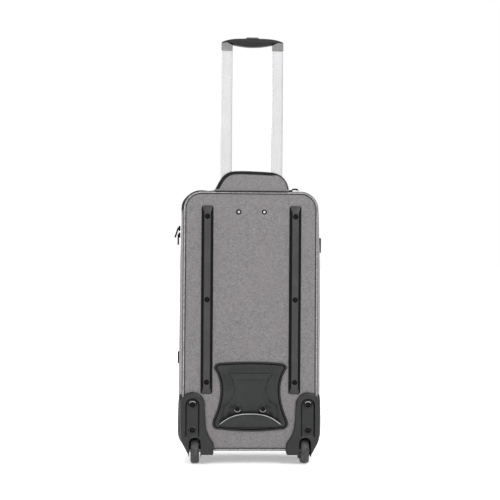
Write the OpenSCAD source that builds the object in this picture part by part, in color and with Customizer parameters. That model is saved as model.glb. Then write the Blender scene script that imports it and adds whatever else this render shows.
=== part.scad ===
// Two-wheeled soft rolling laptop case with a telescopic trolley handle.
// X runs across the case, Y from its back panel to its front, Z up from the floor.

/* [Body] */
// Half width of the body where the sides bulge most
body_half_w = 163; // [150:1:175]
// Half width of the back panel
back_half_w = 150; // [140:1:155]
// Top of the body above the floor
body_top = 627; // [600:1:650]
// Underside of the body above the floor
body_bottom = 26; // [20:1:32]
// Outer face of the back panel
back_y = -108; // [-112:1:-100]
// Plane of the main zip
zip_y = 20; // [10:1:30]
// Front face of the lid
lid_front_y = 84; // [76:1:90]
// Thickness of the padded fabric walls
wall = 4; // [3:0.5:5]
// Depth of the front pockets
pocket_depth = 28; // [18:1:34]

/* [Trolley handle] */
// Distance of each tube from the middle
tube_x = 58.3; // [54:0.1:62]
// Width of the sliding tubes
tube_w = 25.5; // [22:0.5:28]
// Depth of the sliding tubes, front to back
tube_d = 12; // [10:0.5:14]
// Plane of the tubes
tube_y = -84; // [-86:1:-82]
// Lower end of the sliding tubes with the handle pulled out
inner_bottom = 510; // [500:1:530]
// Underside of the grip with the handle pulled out
grip_bottom = 955.5; // [950:0.5:970]
// Travel of the release button
button_travel = 3; // [2:0.5:3]

/* [Wheels] */
// Wheel radius
wheel_r = 30; // [28:1:32]
// Wheel width
wheel_w = 20; // [18:1:22]
// Distance of each wheel from the middle
wheel_x = 126; // [124:1:128]
// Axle position, front to back
axle_y = -85; // [-86:1:-84]
// Axle radius
axle_r = 4; // [3:0.5:5]

/* [Back hardware] */
// Distance of each skid rail from the middle
rail_x = 100.5; // [98:0.5:102]
// Width of the skid rails
rail_w = 26.5; // [22:0.5:28]
// Height of the skid rails above the back panel
rail_h = 9; // [6:0.5:10]
// Lower end of the skid rails
rail_z0 = 161; // [161:1:180]
// Upper end of the skid rails
rail_z1 = 592; // [560:1:596]

/* [Hidden] */

charcoal = [0.13, 0.13, 0.135];
heather = [0.42, 0.41, 0.415];
eps = 0.01;
gap = 0.3;                 // clearance between neighbouring pieces
fit = 0.05;                // radial clearance of a running fit
arc_steps = 8;             // segments in a rounded corner of a soft part

// Trolley handle, from the sizes above
tube_wall = 1.2;
outer_wall = 2;
outer_w = tube_w + 2 * gap + 2 * outer_wall;
outer_d = tube_d + 2 * gap + 2 * outer_wall;
outer_z0 = 114;
well_floor = 583;          // underside of the recess that takes the stowed grip
well_top = 622.5;
well_half_w = 82;
well_y0 = back_y + wall + 1;
well_y1 = -59;
well_wall = 2;
well_base = 3;             // thickness of the recess's floor
inner_top = grip_bottom + 1.5;
pin_r = 2.5;
pin_z = inner_bottom + 10;
rod_r = 2.5;
grip_half_w = 70.5;
grip_half_d = 14;
grip_split = 968;          // joint between the grip's lower body and its top cover
grip_top = 977.5;
fitting_bottom = 949;
fitting_top = 965;
grip_belly = 4.8;          // rise of the grip's curved underside towards the fittings
bar_z = grip_bottom + 9;   // underside of the bar that the button presses
bar_h = 3;
bar_slot_z = bar_z - button_travel - gap;  // floor of the slot that the bar moves in
spring_z = grip_bottom + 3;
spring_r = 3.5;
spring_hole_r = 2.6;
button_half_w = 14.5;
button_half_d = 6;
button_top = 980;
slot_top = pin_z + pin_r + 3;
slot_bottom = 155;

// Rounded corners of the soft body
back_corner_r = 38;        // top corners of the back panel and of the lid's front
mid_corner_r = 42;         // top corners at the zip
foot_corner_r = 30;        // all lower corners
back_rise = 8;             // how far the back panel stops short of the underside
back_drop = 5;             // and of the top
full_width_y = -60;        // plane where the body reaches its full width
lid_bend_y = 60;           // plane where the lid starts to draw in
lid_draw = 8;              // how far the lid's front is drawn in

// Board, lining and laptop sleeve
board_t = 3;
board_half_w = 140;
board_z0 = 45;
lining_y = -72;
lining_t = 2;
lining_half_w = 150;
lining_z0 = 34;
lining_z1 = 577;
sleeve_half_w = 142;
sleeve_z0 = 175;
sleeve_z1 = 430;
sleeve_y1 = -38;
sleeve_wall = 4;

// Top carry handle, side tabs and front feet
carry_y0 = -40;
carry_y1 = -12;
carry_rise = 28;
carry_foot_half_w = 78;
carry_top_half_w = 62;
tab_y0 = -22;
tab_y1 = -2;
tab_proud = 5;
tab_sink = 0.6;
left_tab_z = [223, 251];
right_tab_z = [485, 520];
foot_x0 = 117;
foot_x1 = 134;
foot_skin = 4;

// Screws
screw_r = 2.5;
head_r = 5;
head_h = 2.5;
rail_screw_z = [188.6, 377, 567];
housing_screw_z = [79, 137];
bracket_screw_x = 29.2;
upper_screw_z = 577.5;
kick_screw_z = 126.5;
boss_r = 9;
boss_h = 5;

// Skid rail section
rail_lip = 4;              // height of a rail's edges above the back panel
rail_slope = 5;            // width of a rail's sloping edges
rail_band = 6;             // half width of its raised running band

// Kick plate
kick_z0 = 75;
kick_z1 = 236;
kick_waist = 68.5;
kick_mid = 172.5;
kick_proud = 5;
kick_corner_x = 74;        // middles of the plate's rounded lower and upper corners
kick_foot_z = 90;
kick_head_z = 222;
kick_foot_r = 13.5;
kick_head_r = 10.5;
kick_bow = 0.0006;         // curvature of its upper edge
tub_waist = 35.6;          // half width of the recess at its narrowest
tub_flare = 0.0125;
tub_mid = 172;
lip_z = 116;               // top of the finger lip in the middle
lip_fall = 0.0056;         // curvature of the lip's edge
tub_floor = -96;
tub_skin = 3;
tub_wall = 2;
tub_z0 = 92;
tub_z1 = 207;
tub_max = 56;

// Wheel housings
housing_back = -116;
housing_front = -52;
housing_wall = 3;
arch_x = 132;
arch_z = 137.5;
arch_r = 28;
well_r = wheel_r + 3;
wheel_slot = wheel_w + 5;
channel_half_w = 16;
channel_depth = 5;
channel_z0 = 60;
channel_z1 = 136;
housing_mid_z = 92;        // height about which the housing's hollow is scaled
hollow_scale = 0.88;

// Tube brackets
bracket_half_w = 84;
bracket_y1 = -72.5;
bracket_skin = 3;
bracket_gap_half_w = 25;
upper_bracket_z0 = 556;
lower_bracket_z = [112, 142];

// Wheels
tread_round = 3;           // rounding of the tyre's shoulders
hub_r = 22;
bearing_r = 9;
bearing_w = 6;
bearing_inset = 1.2;
axle_len = 34;

// Handle cover flap and the end of its zip
flap_plane_y = back_y + 3;
flap_z0 = body_top - 2.7;
flap_h = 47;
flap_half_w = 86.8;
flap_taper = 6;
flap_corner_r = 30;
edging_w = 7;
flap_slider_x = 88;
flap_slider_z = 624;
flap_slider_y0 = back_y + 8;
flap_slider_y1 = back_y + 16;

// Zip sliders
slider_h = 12;
slider_d = 12;
slider_t = 3.5;
pull_len = 25;
pull_w = 5.4;
pull_t = 1.5;
slider_upper_z = 541;
slider_lower_z = 525;
pull_splay = 18;
pull_hole_r = 1.4;
pull_hole_up = 3.5;
pocket_wall = 3;
pocket_corner_r = 18;
mouth_drop = 16;           // distance of a pocket's mouth below its top edge
mouth_half_h = 3;
pocket_tape_w = 5;
pocket_tape_gap = 6;       // clear width between the two tapes of a pocket's zip
pocket_half_w = [125, 118];
pocket_z0 = [72, 372];
pocket_z1 = [352, 545];
pocket_mouth_half_w = 98;

// Points of an arc about (cx, cz), from angle a0 to a1
function arc(cx, cz, r, a0, a1, n = arc_steps) =
    [for (i = [0:n]) let (a = a0 + (a1 - a0) * i / n) [cx + r * cos(a), cz + r * sin(a)]];

// Closed outline, wider or narrower at the top than at the bottom, with round corners
function outline(top_w, bottom_w, z0, z1, rt, rb) = concat(
    arc(bottom_w - rb, z0 + rb, rb, -90, 0), arc(top_w - rt, z1 - rt, rt, 0, 90),
    arc(rt - top_w, z1 - rt, rt, 90, 180), arc(rb - bottom_w, z0 + rb, rb, 180, 270));

// Outline of the body at its back panel, at its widest and at its front face
function back_outline(in) = outline(back_half_w - in, back_half_w + 1 - in,
    body_bottom + back_rise + in, body_top - back_drop - in, back_corner_r - in, foot_corner_r - in);
function mid_outline(in) = outline(body_half_w - 2 - in, body_half_w - in,
    body_bottom + in, body_top - in, mid_corner_r - in, foot_corner_r - in);
function front_outline(in) = outline(body_half_w - lid_draw - in, body_half_w + 1 - lid_draw - in,
    body_bottom + lid_draw - 1 + in, body_top - lid_draw - in, back_corner_r - in,
    foot_corner_r - in);

// Half width of the kick plate's outer edge and of its recess at height z
function kick_half(z) = kick_waist + (z > kick_mid ? 0.0062 : 0.0034) * pow(z - kick_mid, 2);
function tub_half(z) = min(tub_max, tub_waist + tub_flare * pow(z - tub_mid, 2));

// Lays a flat X-Z outline between the planes y0 and y1
module along_y(y0, y1) {
    translate([0, y1, 0]) rotate([90, 0, 0]) linear_extrude(y1 - y0) children();
}

// Lays a flat Y-Z outline between the planes x0 and x1
module along_x(x0, x1) {
    translate([x0, 0, 0]) rotate([90, 0, 90]) linear_extrude(x1 - x0) children();
}

module block(lo, hi) {
    translate(lo) cube([hi[0] - lo[0], hi[1] - lo[1], hi[2] - lo[2]]);
}

// Round bar or hole along Y
module rod_y(x, z, y0, y1, r) {
    translate([x, y1, z]) rotate([90, 0, 0]) cylinder(h = y1 - y0, r = r, $fn = 32);
}

module both_sides() {
    children();
    mirror([1, 0, 0]) children();
}

// One screw driven along +Y: a domed head outside and a plain shank
module screw(x, z, seat, depth) {
    translate([x, seat, z]) rotate([-90, 0, 0]) {
        cylinder(h = depth, r = screw_r, $fn = 32);
        translate([0, 0, -head_h]) cylinder(h = head_h, r1 = head_r - 1.2, r2 = head_r, $fn = 32);
    }
}

// Every screw hole in the back, for the panels that the screws pass through
module screw_holes(r, y0, y1) {
    both_sides() {
        for (z = rail_screw_z) rod_y(rail_x, z, y0, y1, r);
        rod_y(bracket_screw_x, upper_screw_z, y0, y1, r);
    }
}

// ---- Wheel housings ----

module housing_outline(grow) {
    polygon(concat(
        arc(arch_x, arch_z, arch_r + grow, 90, 180, 12),
        [[102.5 - grow, 99], [100 - grow, 80], [96.5 - grow, 69], [91 - grow, 60],
         [84.5 - grow, 51], [82.5 - grow, 41], [84 - grow, 22 - grow], [112, 22 - grow]],
        [[138, 24 - grow]], arc(141.5, 47, 20 + grow, -80, 0, 6),
        [[162.5 + grow, 105], [161 + grow, 137.5]],
        arc(arch_x, arch_z, arch_r + 1 + grow, 0, 90, 12)));
}

module wheel_well(r, half) {
    translate([wheel_x - half, axle_y, wheel_r]) rotate([0, 90, 0]) cylinder(h = 2 * half, r = r, $fn = 64);
}

module wheel_housing() {
    half = wheel_slot / 2;
    difference() {
        union() {
            difference() {
                along_y(housing_back, housing_front) housing_outline(0);
                along_y(housing_back + channel_depth + housing_wall, housing_front + 1)
                    translate([arch_x, housing_mid_z]) scale(hollow_scale)
                        translate([-arch_x, -housing_mid_z]) housing_outline(0);
            }
            intersection() {
                wheel_well(well_r + housing_wall, half + housing_wall);
                along_y(housing_back, housing_front) housing_outline(0);
            }
            block([wheel_x - half - housing_wall, housing_back + channel_depth, 30],
                  [wheel_x + half + housing_wall, axle_y, 66]);
        }
        wheel_well(well_r, half);
        block([wheel_x - half, housing_back - 1, 0], [wheel_x + half, axle_y, wheel_r + well_r - 1]);
        block([wheel_x - half, axle_y - well_r, 0], [wheel_x + half, axle_y + well_r, wheel_r]);
        along_y(housing_back - 1, housing_back + channel_depth) polygon(concat(
            [[arch_x + channel_half_w, channel_z0], [arch_x + channel_half_w, channel_z1]],
            arc(arch_x, channel_z1, channel_half_w, 0, 180, 12),
            [[arch_x - channel_half_w, channel_z0]]));
        translate([wheel_x - 30, axle_y, wheel_r]) rotate([0, 90, 0])
            cylinder(h = 60, r = axle_r + fit, $fn = 48);
        for (z = housing_screw_z)
            rod_y(arch_x, z, housing_back, housing_back + 20, screw_r + fit);
    }
}

// Space that the soft body leaves for a housing
module housing_notch() {
    along_y(housing_back - 10, housing_front + gap) union() {
        housing_outline(gap);
        translate([arch_x, 0]) square([60, arch_z]);
        translate([100, 0]) square([60, 30]);
    }
}

// ---- Soft body ----

module body_volume(in, y0, y1) {
    hull() {
        along_y(y0, y0 + 1) polygon(back_outline(in));
        along_y(full_width_y - 1, full_width_y) polygon(mid_outline(in));
    }
    along_y(full_width_y, y1) polygon(mid_outline(in));
}

module shell() {
    color(heather) difference() {
        body_volume(0, back_y, zip_y - 2);
        body_volume(wall, back_y + wall, zip_y);
        both_sides() housing_notch();
        block([-well_half_w - gap, well_y0 - gap, well_floor],
              [well_half_w + gap, well_y1 + gap, body_top + 1]);
        along_y(back_y - 1, back_y + wall + 1) tub_outline(tub_wall + gap);
        screw_holes(screw_r + fit, back_y - 1, back_y + wall + 1);
    }
}

module back_board() {
    board_y = back_y + wall + gap;
    color("dimgray") difference() {
        along_y(board_y, board_y + board_t)
            polygon(outline(board_half_w, board_half_w, board_z0, well_floor - 1, 30, 20));
        both_sides() housing_notch();
        along_y(board_y - 1, board_y + board_t + 1) tub_outline(tub_wall + gap);
        screw_holes(screw_r + fit, board_y - 1, board_y + board_t + 1);
    }
}

module lining_panel() {
    color("slategray") difference() {
        along_y(lining_y, lining_y + lining_t)
            polygon(outline(lining_half_w, lining_half_w, lining_z0, lining_z1, 30, 20));
        both_sides() housing_notch();
    }
}

// Padded pocket for the laptop, open at the top and towards the lining
module laptop_sleeve() {
    half = sleeve_half_w;
    inner = half - sleeve_wall;
    y0 = lining_y + lining_t + gap;
    color("slategray") difference() {
        along_y(y0, sleeve_y1) polygon(outline(half, half, sleeve_z0, sleeve_z1, 12, 24));
        along_y(y0 - 1, sleeve_y1 - sleeve_wall)
            polygon(outline(inner, inner, sleeve_z0 + sleeve_wall, sleeve_z1 + 70, 12, 20));
    }
}

// Piping along the back panel's edge
module back_piping() {
    color("gray") difference() {
        along_y(back_y - 4, back_y - gap / 3) polygon(back_outline(1));
        along_y(back_y - 5, back_y + 1) polygon(back_outline(5));
        both_sides() housing_notch();
    }
}

module zip_ring(y0, y1) {
    color(charcoal) difference() {
        along_y(y0, y1) polygon(mid_outline(-1));
        along_y(y0 - 1, y1 + 1) polygon(mid_outline(wall));
    }
}

module zip_tape_case() { zip_ring(zip_y - 2 + eps, zip_y); }
module zip_tape_lid() { zip_ring(zip_y + gap, zip_y + 2); }

module lid_volume(in, y0, y1) {
    along_y(y0, lid_bend_y) polygon(mid_outline(in));
    hull() {
        along_y(lid_bend_y - eps, lid_bend_y + 1) polygon(mid_outline(in));
        along_y(y1 - 1, y1) polygon(front_outline(in));
    }
}

module lid_shell() {
    color(heather) difference() {
        lid_volume(0, zip_y + 2 + eps, lid_front_y);
        lid_volume(wall, zip_y, lid_front_y - wall);
    }
}

// Front pocket k: a shallow bag with its mouth along the top of its front face
module pocket(k) {
    w = pocket_half_w[k];
    t = pocket_wall;
    r = pocket_corner_r;
    y0 = lid_front_y + eps;
    y1 = lid_front_y + pocket_depth;
    mouth_z = pocket_z1[k] - mouth_drop;
    color(heather) difference() {
        along_y(y0, y1) polygon(outline(w, w, pocket_z0[k], pocket_z1[k], r, r));
        along_y(y0 + t, y1 - t)
            polygon(outline(w - t, w - t, pocket_z0[k] + t, pocket_z1[k] - t, r - t, r - t));
        block([-pocket_mouth_half_w, y1 - t - 1, mouth_z - mouth_half_h],
              [pocket_mouth_half_w, y1 + 1, mouth_z + mouth_half_h]);
    }
}

module pocket_lower() { pocket(0); }
module pocket_upper() { pocket(1); }

module pocket_zip_tapes() {
    y1 = lid_front_y + pocket_depth;
    half = pocket_mouth_half_w + 4;
    color(charcoal) for (z = pocket_z1, s = [-pocket_tape_gap / 2 - pocket_tape_w, pocket_tape_gap / 2])
        block([-half, y1 + eps, z - mouth_drop + s], [half, y1 + 1, z - mouth_drop + s + pocket_tape_w]);
}

module carry_handle() {
    color(charcoal) along_y(carry_y0, carry_y1) difference() {
        polygon(outline(carry_top_half_w, carry_foot_half_w, body_top + eps, body_top + carry_rise, 22, 4));
        polygon(outline(carry_top_half_w - 8, carry_foot_half_w - 16, body_top - 5,
            body_top + carry_rise - 7, 17, 4));
    }
}

module side_tabs() {
    color(charcoal) {
        block([-body_half_w - tab_proud, tab_y0, left_tab_z[0]],
              [-body_half_w + tab_sink, tab_y1, left_tab_z[1]]);
        block([body_half_w - tab_sink, tab_y0, right_tab_z[0]],
              [body_half_w + tab_proud, tab_y1, right_tab_z[1]]);
    }
}

// Standing feet near the front edge, hollow from above
module front_feet() {
    top = body_bottom - eps;
    profile = [[-27, top], [-22, 4], [-18, 0], [8, 0], [12, 4], [16, top]];
    color(charcoal) both_sides() difference() {
        along_x(foot_x0, foot_x1) polygon(profile);
        block([foot_x0 + foot_skin, -20, 2 * foot_skin],
              [foot_x1 - foot_skin, 9, body_bottom + 1]);
    }
}

// ---- Back hardware ----

module skid_rail() {
    half = rail_w / 2;
    y0 = back_y - rail_h;
    color(charcoal) difference() {
        translate([rail_x, 0, rail_z0]) linear_extrude(rail_z1 - rail_z0) polygon([
            [-half, back_y - eps], [-half, back_y - rail_lip], [rail_slope - half, y0 + 2],
            [-rail_band, y0 + 2], [1 - rail_band, y0], [rail_band - 1, y0], [rail_band, y0 + 2],
            [half - rail_slope, y0 + 2], [half, back_y - rail_lip], [half, back_y - eps]]);
        for (z = rail_screw_z) {
            rod_y(rail_x, z, y0 - 1, back_y + 1, screw_r + fit);
            rod_y(rail_x, z, y0 - 1, back_y - rail_lip, head_r + 0.5);
        }
    }
}

module skid_rail_right() { skid_rail(); }
module skid_rail_left() { mirror([1, 0, 0]) skid_rail(); }

module panel_screws() {
    color("silver") both_sides() {
        for (z = rail_screw_z) screw(rail_x, z, back_y - rail_lip - eps, 14);
        for (z = housing_screw_z) screw(arch_x, z, housing_back + channel_depth - eps, 9);
    }
}

module kick_outline() {
    n = 12;
    z0 = kick_foot_z + 9;
    z1 = kick_head_z - 1;
    side = concat(arc(kick_corner_x, kick_foot_z, kick_foot_r, -75, 0, 5),
        [for (i = [0:n]) let (z = z0 + (z1 - z0) * i / n) [kick_half(z), z]],
        arc(kick_corner_x - 1.5, kick_head_z, kick_head_r, 10, 80, 5));
    top = [for (x = [70:-10:-70]) [x, kick_z1 - kick_bow * x * x]];
    bottom = [for (x = [-70:10:70]) [x, kick_z0 + 0.0004 * x * x]];
    left = [for (i = [len(side) - 1:-1:0]) [-side[i][0], side[i][1]]];
    polygon(concat(bottom, side, top, left));
}

module tub_outline(grow) {
    n = 14;
    zs = [for (i = [0:n]) tub_z0 + (tub_z1 - tub_z0) * i / n];
    polygon(concat(
        [for (z = zs) [tub_half(z) + grow, z == tub_z0 ? z - grow : (z == tub_z1 ? z + grow : z)]],
        [for (i = [n:-1:0]) let (z = zs[i])
            [-tub_half(z) - grow, z == tub_z0 ? z - grow : (z == tub_z1 ? z + grow : z)]]));
}

// Part of the recess that shows above the finger grip's curved lip
module tub_mouth() {
    intersection() {
        tub_outline(0);
        polygon(concat([for (x = [-60:6:60]) [x, lip_z - lip_fall * x * x]], [[60, 240], [-60, 240]]));
    }
}

module kick_plate() {
    skin_y = back_y - kick_proud;
    color(charcoal) difference() {
        union() {
            difference() {
                union() {
                    along_y(skin_y, back_y - eps) kick_outline();
                    along_y(back_y - 1, tub_floor + tub_wall) tub_outline(tub_wall);
                }
                along_y(skin_y + tub_skin, tub_floor) tub_outline(0);
                along_y(skin_y - 1, tub_floor) tub_mouth();
            }
            both_sides() rod_y(bracket_screw_x, kick_screw_z, tub_floor - boss_h, tub_floor + 1, boss_r);
        }
        both_sides() rod_y(bracket_screw_x, kick_screw_z, skin_y, tub_floor + 5, screw_r + fit);
    }
}

// ---- Trolley handle: fixed parts ----

module bracket_block(y0, z0, z1) {
    difference() {
        along_y(y0, bracket_y1) polygon(outline(bracket_half_w, bracket_half_w, z0, z1, 6, 6));
        both_sides() translate([tube_x - outer_w / 2 - gap / 3, tube_y - outer_d / 2 - gap / 3, z0 - 1])
            cube([outer_w + 2 * gap / 3, outer_d + 2 * gap / 3, z1 - z0 + 2]);
        block([-bracket_gap_half_w, y0 + 2 * bracket_skin, z0 - 1],
              [bracket_gap_half_w, bracket_y1 - bracket_skin, z1 + 1]);
    }
}

module upper_bracket() {
    y0 = back_y + wall + gap + board_t + eps;
    color(charcoal) difference() {
        bracket_block(y0, upper_bracket_z0, well_floor - 0.2);
        both_sides() rod_y(bracket_screw_x, upper_screw_z, y0 - 1, -60, screw_r + fit);
    }
}

module lower_bracket() {
    y0 = tub_floor + tub_wall + eps;
    color(charcoal) difference() {
        bracket_block(y0, lower_bracket_z[0], lower_bracket_z[1]);
        both_sides() rod_y(bracket_screw_x, kick_screw_z, y0 - 1, -60, screw_r + fit);
    }
}

module bracket_screws() {
    color("silver") both_sides() {
        screw(bracket_screw_x, upper_screw_z, back_y - eps, 20);
        screw(bracket_screw_x, kick_screw_z, tub_floor - boss_h - eps, 20);
    }
}

module outer_tube() {
    color("silver") translate([tube_x, tube_y, 0]) difference() {
        translate([-outer_w / 2, -outer_d / 2, outer_z0])
            cube([outer_w, outer_d, well_floor - 0.2 - outer_z0]);
        translate([-tube_w / 2 - gap, -tube_d / 2 - gap, outer_z0 - 1])
            cube([tube_w + 2 * gap, tube_d + 2 * gap, 500]);
        translate([-pin_r - 0.7, 0, slot_bottom]) cube([2 * pin_r + 1.4, outer_d, slot_top - slot_bottom]);
    }
}

module outer_tube_right() { outer_tube(); }
module outer_tube_left() { mirror([1, 0, 0]) outer_tube(); }

module handle_well() {
    color(charcoal) difference() {
        block([-well_half_w, well_y0, well_floor], [well_half_w, well_y1, well_top]);
        block([-well_half_w + well_wall, well_y0 + well_wall, well_floor + well_base],
              [well_half_w - well_wall, well_y1 - well_wall, well_top + 1]);
        both_sides() translate([tube_x - tube_w / 2 - gap, tube_y - tube_d / 2 - gap, well_floor - 1])
            cube([tube_w + 2 * gap, tube_d + 2 * gap, well_base + 2]);
    }
}

// ---- Trolley handle: sliding parts ----

module inner_tube() {
    color("gainsboro") difference() {
        translate([tube_x - tube_w / 2, tube_y - tube_d / 2, inner_bottom])
            cube([tube_w, tube_d, inner_top - inner_bottom]);
        translate([tube_x - tube_w / 2 + tube_wall, tube_y - tube_d / 2 + tube_wall, inner_bottom - 1])
            cube([tube_w - 2 * tube_wall, tube_d - 2 * tube_wall, 500]);
        rod_y(tube_x, pin_z, tube_y, tube_y + tube_d, pin_r + fit);
    }
}

module inner_tube_right() { inner_tube(); }
module inner_tube_left() { mirror([1, 0, 0]) inner_tube(); }

module tube_plug() {
    w = tube_w / 2 - tube_wall - fit;
    d = tube_d / 2 - tube_wall - fit;
    color(charcoal) difference() {
        block([tube_x - w, tube_y - d, inner_bottom - 2], [tube_x + w, tube_y + d, inner_bottom + 24]);
        rod_y(tube_x, pin_z, tube_y - d - 1, tube_y + d + 1, pin_r + fit);
        translate([tube_x, tube_y, pin_z + pin_r + 1]) cylinder(h = 20, r = rod_r + fit, $fn = 32);
    }
}

module tube_plug_right() { tube_plug(); }
module tube_plug_left() { mirror([1, 0, 0]) tube_plug(); }

module fitting() {
    half_w = tube_w / 2 + 0.2;
    color("gray") difference() {
        block([tube_x - half_w, tube_y - 12, fitting_bottom], [tube_x + half_w, tube_y + 12, fitting_top]);
        block([tube_x - tube_w / 2, tube_y - tube_d / 2, fitting_bottom - 1],
              [tube_x + tube_w / 2, tube_y + tube_d / 2, inner_top]);
        block([0, tube_y - 4, inner_top - eps], [tube_x + rod_r + 2, tube_y + 4, fitting_top + 1]);
    }
}

module fitting_right() { fitting(); }
module fitting_left() { mirror([1, 0, 0]) fitting(); }

function grip_crown(x) = grip_top - 9 * pow(x / grip_half_w, 4);

// Lower half of the grip: its underside rises in a curve towards the fittings
module grip_body() {
    n = 16;
    inner = tube_x - tube_w / 2 - 0.4;
    belly = [for (i = [0:n]) let (x = inner * (2 * i / n - 1))
        [x, grip_bottom + grip_belly * pow(x / inner, 2)]];
    color(charcoal) difference() {
        along_y(tube_y - grip_half_d, tube_y + grip_half_d) polygon(concat(belly, [
            [inner, fitting_top + 0.1], [grip_half_w, fitting_top + 0.1],
            [grip_half_w, grip_split], [-grip_half_w, grip_split],
            [-grip_half_w, fitting_top + 0.1], [-inner, fitting_top + 0.1]]));
        block([-tube_x - 5, tube_y - 4, bar_slot_z], [tube_x + 5, tube_y + 4, grip_split + 1]);
        block([-button_half_w - gap, tube_y - button_half_d - gap, bar_z],
              [button_half_w + gap, tube_y + button_half_d + gap, grip_split + 1]);
        translate([0, tube_y, spring_z - eps]) cylinder(h = 10, r = spring_r + gap, $fn = 32);
    }
}

module grip_cover() {
    color(charcoal) difference() {
        along_y(tube_y - grip_half_d, tube_y + grip_half_d) polygon(concat(
            [[-grip_half_w, grip_split + eps], [grip_half_w, grip_split + eps]],
            [for (i = [20:-1:0]) let (x = grip_half_w * (i / 10 - 1)) [x, grip_crown(x)]]));
        block([-button_half_w - gap, tube_y - button_half_d - gap, grip_split - 1],
              [button_half_w + gap, tube_y + button_half_d + gap, grip_top + 5]);
    }
}

module release_button() {
    color("dimgray") along_y(tube_y - button_half_d, tube_y + button_half_d)
        polygon(outline(button_half_w, button_half_w, bar_z + bar_h + eps, button_top, 3, 1));
}

module push_yoke() {
    bar_half = tube_x + rod_r;
    color("silver") {
        block([-bar_half, tube_y - 3, bar_z], [bar_half, tube_y + 3, bar_z + bar_h]);
        both_sides() translate([tube_x, tube_y, pin_z + pin_r + 1 + button_travel])
            cylinder(h = bar_z - pin_z - pin_r - button_travel, r = rod_r, $fn = 32);
    }
}

module lock_pin() {
    color("silver") rod_y(tube_x, pin_z, tube_y + 1, tube_y + 9, pin_r);
}

module lock_pin_right() { lock_pin(); }
module lock_pin_left() { mirror([1, 0, 0]) lock_pin(); }

// Spring under the button's bar: a short stack of wire turns
module button_spring() {
    color("silver") translate([0, tube_y, spring_z]) difference() {
        cylinder(h = bar_z - spring_z - eps, r = spring_r, $fn = 32);
        translate([0, 0, -1]) cylinder(h = 10, r = spring_hole_r, $fn = 32);
    }
}

// ---- Wheels ----

module on_axle(x0) {
    translate([x0, axle_y, wheel_r]) rotate([0, 90, 0]) children();
}

module tyre() {
    half = wheel_w / 2;
    r = tread_round;
    tread = [for (a = [-60:20:60]) [wheel_r - r + r * cos(a), (half - r) * a / 60]];
    color("dimgray") on_axle(wheel_x) rotate_extrude($fn = 96) polygon(concat(
        [[hub_r, -half + 1], [wheel_r - r, -half]], tread, [[wheel_r - r, half], [hub_r, half - 1]]));
}

module hub() {
    half = wheel_w / 2;
    color(charcoal) on_axle(wheel_x) rotate_extrude($fn = 96) polygon([
        [bearing_r + fit, -half + 1], [12, -half + 1], [13, -2], [18, -2], [19, -half + 1],
        [hub_r - eps, -half + 1], [hub_r - eps, half - 1], [19, half - 1], [18, 2], [13, 2],
        [12, half - 1], [bearing_r + fit, half - 1]]);
}

// Two ball bearings, one at each face of the hub
module bearings() {
    half = wheel_w / 2;
    outer_face = half - bearing_inset;
    color("silver") for (x = [-outer_face, outer_face - bearing_w]) on_axle(wheel_x + x) difference() {
        cylinder(h = bearing_w, r = bearing_r, $fn = 64);
        translate([0, 0, -1]) cylinder(h = bearing_w + 2, r = axle_r + fit, $fn = 48);
    }
}

module axle() {
    color("silver") on_axle(wheel_x - axle_len / 2) cylinder(h = axle_len, r = axle_r, $fn = 48);
}

module tyre_right() { tyre(); }
module tyre_left() { mirror([1, 0, 0]) tyre(); }
module hub_right() { hub(); }
module hub_left() { mirror([1, 0, 0]) hub(); }
module bearings_right() { bearings(); }
module bearings_left() { mirror([1, 0, 0]) bearings(); }
module axle_right() { axle(); }
module axle_left() { mirror([1, 0, 0]) axle(); }
module wheel_housing_right() { color(charcoal) wheel_housing(); }
module wheel_housing_left() { color(charcoal) mirror([1, 0, 0]) wheel_housing(); }

// ---- Handle cover flap ----

function flap_outline(in) = outline(flap_half_w - flap_taper - in, flap_half_w - in, flap_z0,
    flap_z0 + flap_h - in, flap_corner_r - in, 1);

module handle_flap() {
    color(heather) along_y(flap_plane_y - 2, flap_plane_y + 2) polygon(flap_outline(edging_w));
}

module flap_edging() {
    color(charcoal) difference() {
        along_y(flap_plane_y - 1.5, flap_plane_y + 1.5) polygon(flap_outline(0));
        along_y(flap_plane_y - 3, flap_plane_y + 3)
            translate([0, -1]) polygon(concat([[flap_edge_in(), flap_z0 - 1]],
                [for (p = flap_outline(edging_w - 0.1)) [p[0], p[1] + 1]],
                [[-flap_edge_in(), flap_z0 - 1]]));
    }
}

function flap_edge_in() = flap_half_w - edging_w + 0.1;

module flap_zip_slider() {
    color("silver") block([flap_slider_x - 4, flap_slider_y0, flap_slider_z],
                          [flap_slider_x + 6, flap_slider_y1, flap_slider_z + 5]);
}

module flap_pull_ring() {
    mid_y = (flap_slider_y0 + flap_slider_y1) / 2;
    color("silver") translate([flap_slider_x + 12, mid_y, flap_slider_z + 5.5])
        rotate_extrude($fn = 48) translate([4, 0]) circle(r = 0.8, $fn = 16);
}

module flap_pull_tab() {
    color(charcoal) block([flap_slider_x + 17, flap_slider_y0 + 1, flap_slider_z + 4.6],
                          [flap_slider_x + 28, flap_slider_y1 - 1, flap_slider_z + 6.6]);
}

// ---- Zip sliders and pulls ----

module side_slider(z) {
    color("silver") block([-body_half_w - 1 - gap - slider_t, zip_y - slider_d / 2, z - slider_h / 2],
                          [-body_half_w - 1 - gap, zip_y + slider_d / 2, z + slider_h / 2]);
}

// A pull that hangs from (x, z), leaning out by splay degrees
module side_pull(z, y0, splay) {
    x = -body_half_w - 1 - gap - slider_t - pull_t / 2 - 0.2;
    color(charcoal) translate([x, y0, z]) rotate([0, splay, 0]) difference() {
        block([-pull_t / 2, 0, -pull_len], [pull_t / 2, pull_w, 0]);
        translate([-5, pull_w / 2, pull_hole_up - pull_len]) rotate([0, 90, 0])
            cylinder(h = 10, r = pull_hole_r, $fn = 24);
    }
}

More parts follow.
